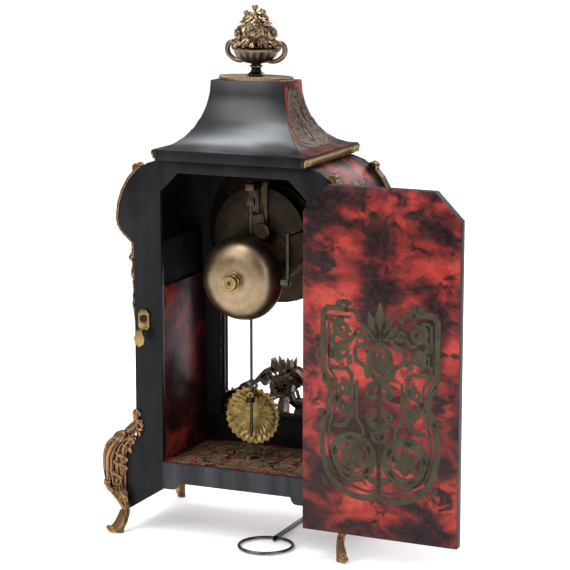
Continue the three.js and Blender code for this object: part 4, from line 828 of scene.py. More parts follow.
def inlay(name, lines, side, at, body, finish, onto=None, slant=0.0, sheet=SHEET):
    """Lays a drawing on a side of the case and gives it the thickness of the sheet."""
    piece = laid(swept(lines, name), side, at, slant)
    if onto:
        axis = "x" if side in ("left", "right") else "y"
        modify(
            piece, "SHRINKWRAP", target=onto, wrap_method="PROJECT", offset=0.02 * MM,
            use_negative_direction=True, use_positive_direction=True, **{"use_project_" + axis: True},
        )
        along = "xyz".index(axis)
        missed = {v.index for v in piece.data.vertices if abs(v.co[along] - at[along]) < MM}
        edit(piece, lambda face: any(index in missed for index in face.vertices))
        bpy.ops.mesh.delete(type="FACE")
        done()
    edit(piece)
    bpy.ops.mesh.normals_make_consistent(inside=False)
    done()
    outward = Matrix.Rotation(slant, 3, "Z") @ SIDE_OUTWARD[side]
    if sum(face.normal.dot(outward) * face.area for face in piece.data.polygons) < 0:
        edit(piece)
        bpy.ops.mesh.flip_normals()
        done()
    modify(piece, "SOLIDIFY", thickness=sheet, offset=1)
    smooth(piece, 30)
    return finished(piece, name, [finish], body)


# %% [markdown]
# The big panel has two roundels at its foot, an oval in its middle, a palmette for a crown and a
# broken strap round it all. The same drawing, stretched, serves for the floor and the sides.

# %% The panel's drawing
PANEL_HALF = 54.0
PANEL_HEIGHT = 174.0


def panel_lines():
    """The right half and the middle of the ornament, 54 mm to each side and 174 mm high."""
    half = [
        strap([(19, 157), (24, 164), (33, 164)], 1.1, True),
        strap([(30, 165), (49, 165), (53, 160), (53, 110), (47, 100), (45, 84), (52, 66)], 1.5),
        strap([(52, 66), (54, 44), (47, 18), (30, 3), (12, 0), (0, 3)], 1.5, True),
        strap([(27, 158), (45, 158), (47.5, 155), (47.5, 113), (41, 103), (39.5, 84), (46, 64)], 0.7),
        strap([(46, 64), (47.5, 44), (41.5, 23), (28, 11), (10, 6), (0, 9)], 0.7, True),
        strap([(47, 113), (30, 113), (26, 108), (26, 72), (33, 62), (43, 62)], 1.2),
        strap([(21, 104), (21, 70), (15, 62), (15, 54)], 0.8),
        strap([(9, 144), (14, 136), (22, 132), (22, 122), (14, 116), (11, 106)], 1.1, True),
        volute(35, 148, 8.5, 1.6, 100, 1.5, -1),
        volute(35, 127, 8.0, 1.6, -80, 1.5, 1),
        volute(19, 146, 5.0, 1.3, 200, 1.1, 1),
        volute(34, 96, 6.0, 1.4, 90, 1.2, 1),
        volute(34, 78, 5.5, 1.4, -90, 1.2, -1),
        volute(9, 92, 4.6, 1.3, 250, 1.0, -1),
        volute(9, 74, 4.6, 1.3, 110, 1.0, 1),
        tapered([(35, 139), (29, 137), (26, 140), (22, 146)], 1.3),
        tapered([(41, 133), (45, 137), (42, 143)], 1.6),
        tapered([(34, 90), (40, 87), (34, 83)], 1.5),
        leaf(44, 120, 60, 14, 1.8, 0.2),
        leaf(30, 116, 130, 10, 1.6, -0.3),
        leaf(50, 98, 40, 8, 1.5, 0.5),
        leaf(49, 72, -20, 9, 1.5, 0.5),
        leaf(28, 168, 60, 8, 1.6, -0.4),
        leaf(41, 167, 120, 9, 1.6, 0.4),
        leaf(4, 140, 62, 18, 2.2, -0.25),
        leaf(2, 140, 78, 26, 2.4, -0.12),
        leaf(1, 104, -50, 14, 2.0, 0.3),
        leaf(0.5, 62, 50, 13, 2.0, -0.3),
        leaf(0.5, 50, 30, 12, 1.8, 0.35),
        leaf(0.5, 14, 45, 12, 1.8, -0.4),
        leaf(48, 8, 20, 9, 1.4, 0.5),
        ring(25, 35, 19.5, 1.7),
        ring(25, 35, 14.6, 0.7),
        *rosette(25, 35, 12.5),
    ]
    for i in range(5):  # leaves inside the roundel's broad ring
        turn = 1.2 * i
        foot_x = 25 + 17 * math.cos(turn)
        foot_y = 35 + 17 * math.sin(turn)
        half.append(leaf(foot_x, foot_y, math.degrees(turn) + 80, 8, 1.2, 0.3))
    middle = [
        ring(0, 121, 10, 1.5, tall=1.5),
        ring(0, 121, 6, 0.6, tall=1.6),
        leaf(0, 112, 90, 18, 2.6, 0),
        leaf(0, 138, 90, 36, 2.8, 0),
        strap([(0, 4), (0, 104)], 1.2),
        ring(0, 57, 3.2, 1.0, steps=16),
    ]
    return mirrored(half) + middle


# %% [markdown]
# On the door the metal has darkened to an olive brown and hardly shines, while on the case floor
# it has kept a tan colour, under dust. The door's sheet lies nearly flush with the shell, so that
# the door still shuts.

# %% Inlay on the door
INLAY_LOW_Z = cad_low.z + 64 * MM  # the ornament's foot, above the ground
DOOR_SHEET = 0.12 * MM


def sheet_metal(name, pale, dark, metallic=0.35, rough=(0.42, 0.62)):
    finish = Finish(name, metallic=metallic, specular=0.3)
    stain = finish.noise(75, detail=5, rough=0.65)
    graver = finish.noise(420, detail=2, stretch=(1, 1, 0.25))
    tone = finish.ramp(stain, [(0.35, dark), (0.68, pale)])
    finish.colour(finish.mix(finish.ramp(graver, [(0.5, 0.0), (0.72, 0.55)]), tone, dark))
    finish.gloss(stain, *rough)
    finish.bump(graver, 0.00008, 0.4)
    return finish.material


olive_inlay = sheet_metal("olive_inlay", (0.060, 0.050, 0.026), (0.026, 0.022, 0.013))
tan_inlay = sheet_metal("tan_inlay", (0.27, 0.19, 0.10), (0.10, 0.07, 0.04))
flank_inlay = sheet_metal("flank_inlay", (0.13, 0.09, 0.055), (0.05, 0.034, 0.023))

door_face = door_centre + door_normal * (DOOR_THICKNESS / 2)
inlay(
    "door_inlay", scaled(panel_lines(), 1, 1, fat=1.8), "back", (door_face.x, door_face.y, INLAY_LOW_Z),
    "back_door", olive_inlay, slant=-door_slant, sheet=DOOR_SHEET,
)
print("door inlay laid")

# %% [markdown]
# Bells, nuts and urns come off a lathe. Their profile is drawn corner by corner with the extrude
# operator and spun round its axis, which leaves the same even rings that a lathe does. Handles,
# stems, beads and scrolls are round rods that swell and taper along a line.

# %% Turning a profile and bending rods
GROUND = cad_low.z / MM  # the feet stand on this height, in millimetres


def above(x, y, z):
    """A place in metres, from millimetres with the height counted from the ground."""
    return Vector((x, y, z + GROUND)) * MM


def shaped(piece, move):
    """Moves every corner of a mesh: move(corner) gives its new place, both in millimetres."""
    for vertex in piece.data.vertices:
        vertex.co = Vector(move(vertex.co / MM)) * MM
    piece.data.update()
    return piece


def turned(name, profile, centre, axis="Y", steps=64, seam=30):
    """Spins a profile of (radius, place on the axis), in millimetres, round a centre."""
    along = {"Y": Vector((0, 1, 0)), "Z": Vector((0, 0, 1))}[axis]
    corners = [Vector(centre) + Vector((radius, 0, 0)) + along * height for radius, height in profile]
    bpy.ops.object.select_all(action="DESELECT")
    bpy.ops.mesh.primitive_plane_add(size=MM)
    piece = bpy.context.object
    bpy.ops.object.mode_set(mode="EDIT")
    bpy.ops.mesh.select_mode(type="VERT")
    bpy.ops.mesh.select_all(action="SELECT")
    bpy.ops.mesh.merge(type="CENTER")
    bpy.ops.transform.translate(value=corners[0] * MM)
    for before, after in zip(corners, corners[1:]):
        bpy.ops.mesh.extrude_region_move(TRANSFORM_OT_translate={"value": (after - before) * MM})
    bpy.ops.mesh.select_all(action="SELECT")
    bpy.ops.mesh.spin(steps=steps, angle=2 * math.pi, center=Vector(centre) * MM, axis=along)
    bpy.ops.mesh.select_all(action="SELECT")
    bpy.ops.mesh.remove_doubles(threshold=0.01 * MM)
    bpy.ops.mesh.normals_make_consistent(inside=False)
    done()
    smooth(piece, seam)
    return named(piece, name)


def tubes(lines, name, resolution=2, closed=False):
    """Round, tapering rods along lines of (place, radius) points, in metres."""
    curve = bpy.data.curves.new(name, "CURVE")
    curve.dimensions = "3D"
    curve.bevel_depth = 1.0
    curve.bevel_resolution = resolution
    curve.use_fill_caps = True
    for line in lines:
        spline = curve.splines.new("POLY")
        spline.points.add(len(line) - 1)
        spline.use_cyclic_u = closed
        for point, (at, radius) in zip(spline.points, line):
            point.co = (*at, 1)
            point.radius = radius
    piece = bpy.data.objects.new(name, curve)
    bpy.context.collection.objects.link(piece)
    only(piece)
    bpy.ops.object.convert(target="MESH")
    return smooth(bpy.context.object, 40)


# %% [markdown]
# The bell is a shallow bronze dome, spun thin, with a rolled lip. It hangs mouth inwards on its
# post, under a washer and a milled brass nut. The bell's skin has dulled to a satin.

# %% Bell and its nut
bell_low, bell_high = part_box("bell")
bell_middle = (bell_low + bell_high) / 2
bell_centre = (bell_middle.x / MM, 0, bell_middle.z / MM)
BELL_OUTSIDE = catmull([
    (36.9, 19.0), (38.4, 19.4), (38.4, 20.6), (37.6, 23.4), (35.8, 27.6), (32.9, 31.8), (28.4, 35.4),
    (22.4, 37.9), (15.0, 39.3), (7.7, 39.9), (2.4, 40.0),
], 4)
BELL_INSIDE = catmull([(2.4, 38.3), (14.6, 37.6), (27.4, 33.9), (34.2, 27.0), (36.9, 19.0)], 4)
bell_bronze = turned_metal(
    "bell_bronze", (0.36, 0.26, 0.16), (0.20, 0.14, 0.085), bell_middle, lines=700, rough=(0.30, 0.42),
)
bell = turned("bell_dome", BELL_OUTSIDE + BELL_INSIDE, bell_centre, steps=96)
stand_in(bell, "bell_dome", [bell_bronze], "bell")

NUT_PROFILE = [
    (2.2, 40.3), (8.6, 40.3), (8.8, 40.6), (8.8, 41.2), (8.4, 41.5), (6.2, 41.6), (5.5, 42.2),
    (5.5, 44.0), (6.2, 45.0), (6.9, 45.4), (6.9, 45.7), (6.9, 46.4), (6.9, 47.2), (6.9, 48.0),
    (6.9, 48.6), (6.2, 49.4), (4.6, 49.5), (4.4, 48.9), (3.4, 48.9), (3.2, 49.5), (2.2, 49.5),
    (2.2, 40.3),
]
NUT_RIM = (6.8, 7.0)  # the radii between which a corner is on the rim
NUT_RIM_Y = 45.5
NUT_TEETH = 36


def milled(corner):
    """Cuts fine notches into the nut's rim."""
    x = corner.x - bell_centre[0]
    z = corner.z - bell_centre[2]
    reach = math.hypot(x, z)
    if reach < NUT_RIM[0] or corner.y < NUT_RIM_Y or reach > NUT_RIM[1]:
        return corner
    cut = 1 - 0.06 * (round(math.atan2(z, x) / (2 * math.pi) * 2 * NUT_TEETH) % 2)
    return (bell_centre[0] + x * cut, corner.y, bell_centre[2] + z * cut)


nut = shaped(turned("bell_thumb_nut", NUT_PROFILE, bell_centre, steps=2 * NUT_TEETH), milled)
stand_in(nut, "bell_thumb_nut", [brass], "bell_nut")
print("bell faces:", len(bell.data.polygons), "nut faces:", len(nut.data.polygons))

# %% [markdown]
# The pendulum's bob is stamped from thin brass as a sun: rays run out from the middle, and each
# ends in a bead at the rim. It is seen from inside, so the rays are hollows there.

# %% Pendulum bob
bob_low, bob_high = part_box("pendulum_bob")
bob_radius = (bob_high.x - bob_low.x) / 2 / MM
bob_centre = ((bob_low.x + bob_high.x) / 2 / MM, 0, bob_low.z / MM + bob_radius)
RAYS = 26
DISH = [
    (0, 2.9), (3, 3.0), (6, 3.2), (9, 3.5), (12.6, 3.9), (16, 5.0), (19, 6.0), (22.4, 7.2), (25, 8.6),
    (27.0, 9.2), (28, 9.7), (27.0, 10.3), (25, 9.9), (22.0, 8.4), (19, 7.2), (16, 6.2), (12.3, 5.2),
    (9, 4.8), (6, 4.4), (3, 4.2), (0, 4.15),
]
BEAD_ROW = ((25, 0.6), (26.4, 1.15), (27.4, 0.5))  # reach from the middle and radius
BEAD_Y = 9.7
SLEEVE_RISE = 20  # from the bob's middle to the sleeve that the rod runs through


def radiant(corner):
    """Rays that fade in from the middle, a scalloped rim and a few dents."""
    x = corner.x - bob_centre[0]
    z = corner.z - bob_centre[2]
    reach = math.hypot(x, z)
    angle = math.atan2(z, x)
    wave = math.cos(RAYS * angle)
    ripple = math.sin(5 * angle + 0.8) * math.sin(9 * angle)
    share = min(1, max(0, (reach - 4) / 18))
    grow = 1 - 0.035 * (1 - wave) * (share > 0.95) - 0.012 * (1 + ripple) * share
    depth = (0.42 * wave + 0.5 * ripple) * share * (1 - share ** 6)
    return (bob_centre[0] + x * grow, corner.y + depth, bob_centre[2] + z * grow)


bob = shaped(turned("bob_sun", DISH, bob_centre, steps=8 * RAYS, seam=50), radiant)
bob_brass = plain_metal(
    "bob_brass", (0.36, 0.25, 0.088), (0.10, 0.064, 0.024), rough=(0.26, 0.5), scale=150,
)
beads = []
for i in range(RAYS):
    across = math.cos(2 * math.pi * i / RAYS)
    up = math.sin(2 * math.pi * i / RAYS)
    beads.append([
        (Vector((bob_centre[0] + reach * across, BEAD_Y, bob_centre[2] + reach * up)) * MM, radius * MM)
        for reach, radius in BEAD_ROW
    ])
SLEEVE = [(1.2, 14.6), (3.0, 14.9), (3.0, 7.6), (1.2, 7.6), (1.2, 14.6)]
sleeve = turned("bob_sleeve", SLEEVE, (bob_centre[0], 0, bob_centre[2] + SLEEVE_RISE), steps=24)
bob = joined([bob, tubes(beads, "bob_beads", 1), sleeve], "bob_sun")
stand_in(bob, "bob_sun", [bob_brass], "pendulum_bob")
print("bob faces:", len(bob.data.polygons))

# %% [markdown]
# The finial is a cast urn, dark with age, with two ears. It is turned, and lobes are then pressed
# into its bowl.

# %% Finial urn
URN = [  # radius and height above the ground
    (0, 417.8), (8, 417.8), (8.2, 418.6), (7.2, 419.6), (5.0, 421.2), (4.2, 423.6), (4.6, 425.0),
    (6, 425.6), (6, 426.4), (4.4, 427.2), (4.4, 428.2), (9.0, 428.9), (13.6, 430.6), (17.0, 433.4),
    (18.9, 436.4), (19.7, 439.0), (20.2, 440.6), (20.2, 441.6), (18.8, 442.4), (0, 442.5),
]
BOWL = (429, 440)  # heights between which the lobes lie
LOBES = 18
EAR = [
    (10, 431.4), (15, 430.4), (21, 431.6), (26.2, 435.4), (28.0, 440.2), (26.6, 445.2), (22.4, 447.0),
    (18.2, 445.4), (16.6, 441.8),
]
dark_bronze = cast_metal(
    "dark_bronze", (0.20, 0.135, 0.090), (0.060, 0.042, 0.032), (0.015, 0.011, 0.009), grain=180,
)


def gadrooned(corner):
    """Lobes round the bowl."""
    height = corner.z - GROUND
    if not BOWL[0] < height < BOWL[1]:
        return corner
    swell = math.sin(math.pi * (height - BOWL[0]) / (BOWL[1] - BOWL[0]))
    cut = 1 - 0.07 * swell * abs(math.sin(LOBES / 2 * math.atan2(corner.y, corner.x)))
    return (corner.x * cut, corner.y * cut, corner.z)


urn = shaped(turned("urn", [(r, z + GROUND) for r, z in URN], (0, 0, 0), axis="Z", steps=108), gadrooned)
ears = []
for side in (-1, 1):
    line = catmull(EAR, 6)
    last = len(line) - 1
    ears.append([
        (above(side * x, 0, z), (1.7 + 0.7 * math.sin(math.pi * i / last)) * MM)
        for i, (x, z) in enumerate(line)
    ])
    curl = volute(side * 19.5, 442.6, 4.4, 1.1, 90, 1.0, -side)
    ears.append([(above(x, 0, z), 1.5 * half * MM) for x, z, half in curl])
urn = joined([urn, tubes(ears, "urn_ears", 3)], "urn")
stand_in(urn, "urn", [dark_bronze], "finial_urn")
print("urn faces:", len(urn.data.polygons))

# %% [markdown]
# The urn holds a bunch of roses, buds and leaves with brighter gilding. A rose is a ball whose
# skin steps in and out along a spiral, which reads as petals laid one over another. Leaves are
# short rods that swell in their middle, set round a rounded heart.

# %% Finial bouquet
flower_gilt = cast_metal(
    "flower_gilt", (0.36, 0.255, 0.155), (0.105, 0.072, 0.043), (0.012, 0.009, 0.007), grain=220,
)
BUNCH_LOW = 442.8 + GROUND
BUNCH_RISE = 37.2
BUNCH_HEART = Vector((0, 0, BUNCH_LOW + 0.3 * BUNCH_RISE))
ROSES = [  # x, y, share of the height, radius
    (-3, 9, 0.42, 9.4), (9, 7, 0.32, 7.8), (-14, 2, 0.34, 7.6), (15, -1, 0.32, 7.0), (4, -9, 0.42, 8.6),
    (-9, -8, 0.32, 7.8), (6, 1, 0.64, 6.8), (-6, -1, 0.64, 6.4), (-11, 9, 0.16, 5.0), (3, 13, 0.12, 4.8),
    (14, 7, 0.12, 4.6), (0, -13, 0.12, 5.0), (-19, 2, 0.10, 4.2), (19, 3, 0.10, 4.2),
]
BUDS = [(1, 0, 0.95, 3.3), (-8, 2, 0.83, 2.9), (9, 1, 0.81, 2.9), (-12, 6, 0.56, 2.4), (12, -4, 0.56, 2.4)]


def rose(x, y, share, radius, turns=2.2, steps=(44, 26)):
    """A rose that faces away from the heart of the bunch."""
    centre = Vector((x, y, BUNCH_LOW + share * BUNCH_RISE))
    facing_out = (centre - BUNCH_HEART + Vector((0, 4, 0))).to_track_quat("Z", "Y")
    bpy.ops.object.select_all(action="DESELECT")
    bpy.ops.mesh.primitive_uv_sphere_add(segments=steps[0], ring_count=steps[1], radius=1)
    flower = bpy.context.object
    for vertex in flower.data.vertices:
        unit = vertex.co.normalized()
        down = math.acos(max(-1, min(1, unit.z)))
        step = (down / math.pi * 2 * turns + math.atan2(unit.y, unit.x) / (2 * math.pi)) % 1
        petal = 0.74 + 0.26 * step ** 0.7
        frill = 1 + 0.03 * math.sin(5 * math.atan2(unit.y, unit.x) + 6 * down)
        vertex.co = (facing_out @ (unit * petal * frill * radius) * 0.97 + centre) * MM
    flower.data.update()
    return smooth(flower, 60)


bunch = [rose(*place_of) for place_of in ROSES]
bunch += [rose(x, y, share, radius, 1.4, (20, 12)) for x, y, share, radius in BUDS]
draw = random.Random(7)
stalks = []
for x, y, share, radius in BUDS:
    low_end = Vector((0.5 * x, 0.5 * y, BUNCH_LOW + 0.5 * BUNCH_RISE))
    high_end = Vector((x, y, BUNCH_LOW + share * BUNCH_RISE))
    stalks.append([(low_end * MM, 1.6 * MM), (high_end * MM, 1.2 * MM)])
LEAVES = 110
for i in range(LEAVES):
    around = 2.4 * i  # nearly the golden angle, as leaves grow
    height = BUNCH_LOW + BUNCH_RISE * (0.03 + 0.76 * i / LEAVES)
    reach = 18 * (1 - 0.60 * (i / LEAVES) ** 1.6) + draw.uniform(-1, 1)
    out = Vector((1.1 * math.cos(around), 0.8 * math.sin(around), 0))
    side = Vector((-out.y, out.x, 0)) * draw.uniform(-1, 1)
    base = Vector((0, 0, height)) + out * (reach - 6)
    tip = base + out * 7 + side * 3 + Vector((0, 0, draw.uniform(-2, 3.5)))
    middle = (base + tip) / 2 + Vector((0, 0, 1.6))
    stalks.append([(base * MM, 0.9 * MM), (middle * MM, 2.1 * MM), (tip * MM, 0.35 * MM)])
LIP_LEAVES = 44
for i in range(LIP_LEAVES):  # leaves and small flowers that lap over the urn's mouth
    around = 2 * math.pi * i / LIP_LEAVES + draw.uniform(-0.08, 0.08)
    out = Vector((math.cos(around), math.sin(around), 0))
    reach = draw.uniform(17.5, 21.5)
    height = BUNCH_LOW + draw.uniform(1.5, 5.5)
    lean = Vector((-out.y, out.x, 0)) * draw.uniform(-4, 4)
    stalks.append([
        ((out * 12 + Vector((0, 0, height))) * MM, 1.4 * MM),
        ((out * 16 + lean * 0.5 + Vector((0, 0, height + 1))) * MM, draw.uniform(1.6, 2.6) * MM),
        ((out * reach + lean + Vector((0, 0, height - 1))) * MM, 0.6 * MM),
    ])
bpy.ops.object.select_all(action="DESELECT")
bpy.ops.mesh.primitive_uv_sphere_add(segments=32, ring_count=20, radius=1)
heart = shaped(bpy.context.object, lambda at: (
    (15 - 5 * at.z / 1000) * at.x / 1000,
    (12 - 4 * at.z / 1000) * at.y / 1000,
    BUNCH_LOW + 0.4 * BUNCH_RISE + 0.4 * BUNCH_RISE * at.z / 1000,
))
bouquet = joined([heart, tubes(stalks, "leaves", 2), *bunch], "bouquet")
shaped(bouquet, lambda at: (at.x, at.y, max(BUNCH_LOW, min(BUNCH_LOW + BUNCH_RISE, at.z))))
stand_in(bouquet, "bouquet", [flower_gilt], "finial_bouquet")
print("bouquet faces:", len(bouquet.data.polygons))

# %% [markdown]
# Below the urn lies an oval plate with a diaper of small pyramids and a beaded rim. A fine grid is
# trimmed to the oval, lifted into pyramids and given a skirt that reaches down to the roof.

# %% Oval plate on the roof
plate_low, plate_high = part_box("roof_plate")
plate_half = (plate_high - plate_low) / 2 / MM
plate_top = plate_high.z / MM
PYRAMID = 2.4  # millimetres from one pyramid to the next
GRID_STEP = 0.6
RIM_BEADS = 76
BEAD_STEPS = 4  # points along one bead

bpy.ops.object.select_all(action="DESELECT")
bpy.ops.mesh.primitive_grid_add(
    x_subdivisions=int(2 * plate_half.x / GRID_STEP), y_subdivisions=int(2 * plate_half.y / GRID_STEP),
    size=1,
)
plate = bpy.context.object
plate.scale = (2 * plate_half.x * MM, 2 * plate_half.y * MM, 1)
place(plate)
edit(plate, lambda face: math.hypot(
    face.center.x / plate_half.x, face.center.y / plate_half.y,
) > 0.97 * MM)
bpy.ops.mesh.delete(type="FACE")
done()


def diaper(corner):
    """Small pyramids everywhere but under the rim's beads."""
    rim = math.hypot(corner.x / plate_half.x, corner.y / plate_half.y)
    ridge_x = abs(math.sin(math.pi * corner.x / PYRAMID))
    ridge_y = abs(math.sin(math.pi * corner.y / PYRAMID))
    peak = ridge_x + ridge_y - 1
    return (corner.x, corner.y, plate_top - 1.5 + 1.4 * peak * (rim < 0.93))


shaped(plate, diaper)
modify(plate, "SOLIDIFY", thickness=1.5 * MM, offset=-1)
smooth(plate, 25)
rim_line = []
for i in range(BEAD_STEPS * RIM_BEADS):
    angle = 2 * math.pi * i / (BEAD_STEPS * RIM_BEADS)
    rim_x = 0.955 * plate_half.x * math.cos(angle)
    rim_y = 0.93 * plate_half.y * math.sin(angle)
    radius = 0.75 + 0.5 * abs(math.sin(RIM_BEADS * angle / 2))
    rim_line.append((Vector((rim_x, rim_y, plate_top - 1.3)) * MM, radius * MM))
skirt = merged_copy("roof_plate")
shaped(skirt, lambda at: (at.x, at.y, min(at.z, plate_top - 2.2)))
plate = joined([plate, tubes([rim_line], "plate_beads", 2, closed=True), skirt], "oval_plate")
plate_gilt = cast_metal(
    "plate_gilt", (0.34, 0.24, 0.155), (0.085, 0.058, 0.042), (0.013, 0.009, 0.007), grain=260,
)
stand_in(plate, "oval_plate", [plate_gilt], "roof_plate")
print("plate faces:", len(plate.data.polygons))

# %% [markdown]
# The cornice carries a strip of upright gilt tongues on the left, the front and the right. Each
# tongue is a short tapering rod, and all are one piece with the strip behind them, which is given
# dark brass as painted shade in the gaps between the tongues.

# %% Cornice moulding
moulding_low, moulding_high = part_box("cornice_moulding")
strip = merged_copy("cornice_moulding")
modify(strip, "BEVEL", width=0.4 * MM, segments=2, limit_method="ANGLE", angle_limit=math.radians(30))
smooth(strip)
TONGUE = 3.4  # millimetres from one tongue to the next
TONGUE_IN = 0.2  # a tongue's top lies this far inside the moulding's outer face
LEAN = 1.6  # and its foot this much farther in
top_z = moulding_high.z / MM - 1.2
low_z = moulding_low.z / MM + 1.0
reach_x = moulding_high.x / MM - TONGUE_IN
reach_y = moulding_low.y / MM + TONGUE_IN
tongue_lines = []


def tongue(x, y, lean_x, lean_y):
    """A rod from its foot at (x, y) that leans outwards."""
    tongue_lines.append([
        (Vector((x + lean_x, y + lean_y, top_z)) * MM, 0.8 * MM),
        (Vector((x + 0.8 * lean_x, y + 0.8 * lean_y, top_z - 1.6)) * MM, 1.35 * MM),
        (Vector((x + 0.3 * lean_x, y + 0.3 * lean_y, (top_z + low_z) / 2)) * MM, 1.15 * MM),
        (Vector((x, y, low_z)) * MM, 0.45 * MM),
    ])


for i in range(int(2 * reach_x / TONGUE) + 1):
    tongue(-reach_x + TONGUE * i, reach_y + LEAN, 0, -LEAN)
side_length = moulding_high.y / MM - reach_y - 2
for i in range(int(side_length / TONGUE) + 1):
    for side in (-1, 1):
        tongue(side * (reach_x - LEAN), reach_y + 2 + TONGUE * i, side * LEAN, 0)
moulding_gilt = cast_metal(
    "moulding_gilt", (0.36, 0.255, 0.13), (0.085, 0.058, 0.030), (0.014, 0.010, 0.007), grain=240,
)
# the strip gets dark brass, painted shade between the tongues
strip.data.materials.clear()
strip.data.materials.append(dark_brass)
tongues = tubes(tongue_lines, "tongues", 2)
tongues.data.materials.append(moulding_gilt)
strip = joined([strip, tongues], "gilt_moulding")
finished(strip, "gilt_moulding", None, "case", ("cornice_moulding",))
print("tongues:", len(tongue_lines))

# %% [markdown]
# Cast mounts are chased all over: ribs, scrolls and leaves. Each starts as a copy of its plain
# casting, which is given an even skin of small faces, so that ribs can be pressed into it round
# the middle of every slice. Scrolls and leaves are rods laid on its surface, and merge with it.

# %% Chasing a casting
SLICE = 2.0  # millimetres of height between slices


def even_skin(node, voxel=0.8):
    """A copy of a casting with small, even faces all over."""
    piece = merged_copy(node)
    modify(piece, "REMESH", mode="VOXEL", voxel_size=voxel * MM, adaptivity=0)
    modify(piece, "SMOOTH", factor=0.5, iterations=3)
    return smooth(piece, 60)


def slices(piece):
    """The middle and the half widths of a casting at every slice of its height."""
    rows = {}
    for vertex in piece.data.vertices:
        rows.setdefault(round(vertex.co.z / MM / SLICE), []).append(vertex.co / MM)
    table = {}
    for row, corners in rows.items():
        xs = [corner.x for corner in corners]
        ys = [corner.y for corner in corners]
        table[row] = (
            (min(xs) + max(xs)) / 2, (min(ys) + max(ys)) / 2,
            (max(xs) - min(xs)) / 2, (max(ys) - min(ys)) / 2,
        )
    return table


def slice_at(table, z):
    """The middle and the half widths at any height, between two slices."""
    row = z / SLICE
    below = math.floor(row)
    nearest = min(table, key=lambda key: abs(key - below))
    first = table.get(below, table[nearest])
    second = table.get(below + 1, first)
    share = row - below
    return [p + (q - p) * share for p, q in zip(first, second)]


def fluted(piece, table, count, depth, low, high, twist=0.0, fade=5.0):
    """Presses ribs into a casting between two heights; nothing is raised above its skin."""
    def move(corner):
        share = min(1, max(0, (corner.z - low) / fade), max(0, (high - corner.z) / fade))
        if share == 0:
            return corner
        cx, cy, _, _ = slice_at(table, corner.z)
        radial = Vector((corner.x - cx, corner.y - cy, 0))
        angle = math.atan2(radial.y, radial.x)
        groove = 0.5 - 0.5 * math.cos(count * angle + twist * corner.z)
        return corner - radial.normalized() * depth * share * groove
    return shaped(piece, move)


def reflected(piece, x=1, y=1):
    """A copy on another side of the clock, with its own mesh."""
    only(piece)
    bpy.ops.object.duplicate()
    copy = bpy.context.object
    copy.scale = (x, y, 1)
    place(copy)
    edit(copy)
    bpy.ops.mesh.normals_make_consistent(inside=False)
    done()
    return copy


CORNERS = {"back_right": (1, 1), "back_left": (-1, 1), "front_right": (1, -1), "front_left": (-1, -1)}


def at_corners(piece, stem):
    """Reflects a chased casting to all four corners, in place of the nodes there."""
    copies = [(stem + "_" + corner, reflected(piece, x, y)) for corner, (x, y) in CORNERS.items()]
    bpy.data.objects.remove(piece)
    return [stand_in(copy, node + "_chased", [gilt], node) for node, copy in copies]


def spiral_on(surface, z, sideways, radius, turns, start, hand, thick):
    """A scroll that lies on a surface(z, sideways)."""
    line = []
    for x, y, half in volute(0, 0, radius, turns, start, thick, hand):
        line.append((surface(z + y, sideways + x), half * MM))
    return line


def rod_on(surface, points, thick, tip=0.3):
    """A tapering rod through (z, sideways) points on a surface."""
    line = catmull(points, 5)
    last = len(line) - 1
    return [
        (surface(z, sideways), thick * (tip + (1 - tip) * math.sin(math.pi * i / last) ** 0.7) * MM)
        for i, (z, sideways) in enumerate(line)
    ]


# %% [markdown]
# A foot is a rocaille: a toe that curls outwards, a slim ankle, a ribbed lobe with scrolls at both
# ends, leaves that lap over the case, and a sprig on top. One is chased and three are reflected.

# %% Feet
NECK = (87, 112)  # heights above the ground, in millimetres, as the next two are
LOBE = (40, 88)
ANKLE_TOP = 36
TOE = [  # outwards, height, radius: it leaves the ankle and curls up at its tip
    (-1.5, 21, 2.2), (-0.8, 15, 3.8), (0.6, 9.5, 4.6), (2.8, 5.6, 4.6), (5.6, 4.4, 3.8), (7.8, 5.6, 2.8),
    (8.8, 7.6, 1.5),
]
foot = even_skin("foot_back_right")
foot_slices = slices(foot)


def foot_back(z, sideways):
    """A point on the foot's rounded back, or on the case beside it."""
    cx, cy, rx, ry = slice_at(foot_slices, z + GROUND)
    over = min(1, abs(sideways) / rx)
    y = max(cy + ry * math.sqrt(1 - over ** 2), back_face_y / MM + 0.6 if z > 30 else cy)
    return above(cx + sideways, y, z)


def foot_flank(z, sideways):
    """A point on the foot's outer flank."""
    cx, cy, rx, ry = slice_at(foot_slices, z + GROUND)
    over = min(0.95, abs(sideways) / ry)
    return above(cx + rx * math.sqrt(1 - over ** 2), cy + sideways, z)


def waisted(corner):
    """Slims the ankle and the neck, and leaves the toe, the lobe and the sprig their size."""
    z = corner.z - GROUND
    neck = min(1, max(0, (z - NECK[0]) / 4)) * min(1, max(0, (NECK[1] - z) / 6))
    ankle = min(1, max(0, (ANKLE_TOP - z) / 14))
    slim = 0.48 * ankle + 0.42 * neck
    cx, cy, _, _ = slice_at(foot_slices, corner.z)
    return (cx + (corner.x - cx) * (1 - slim), cy + (corner.y - cy) * (1 - slim), corner.z)


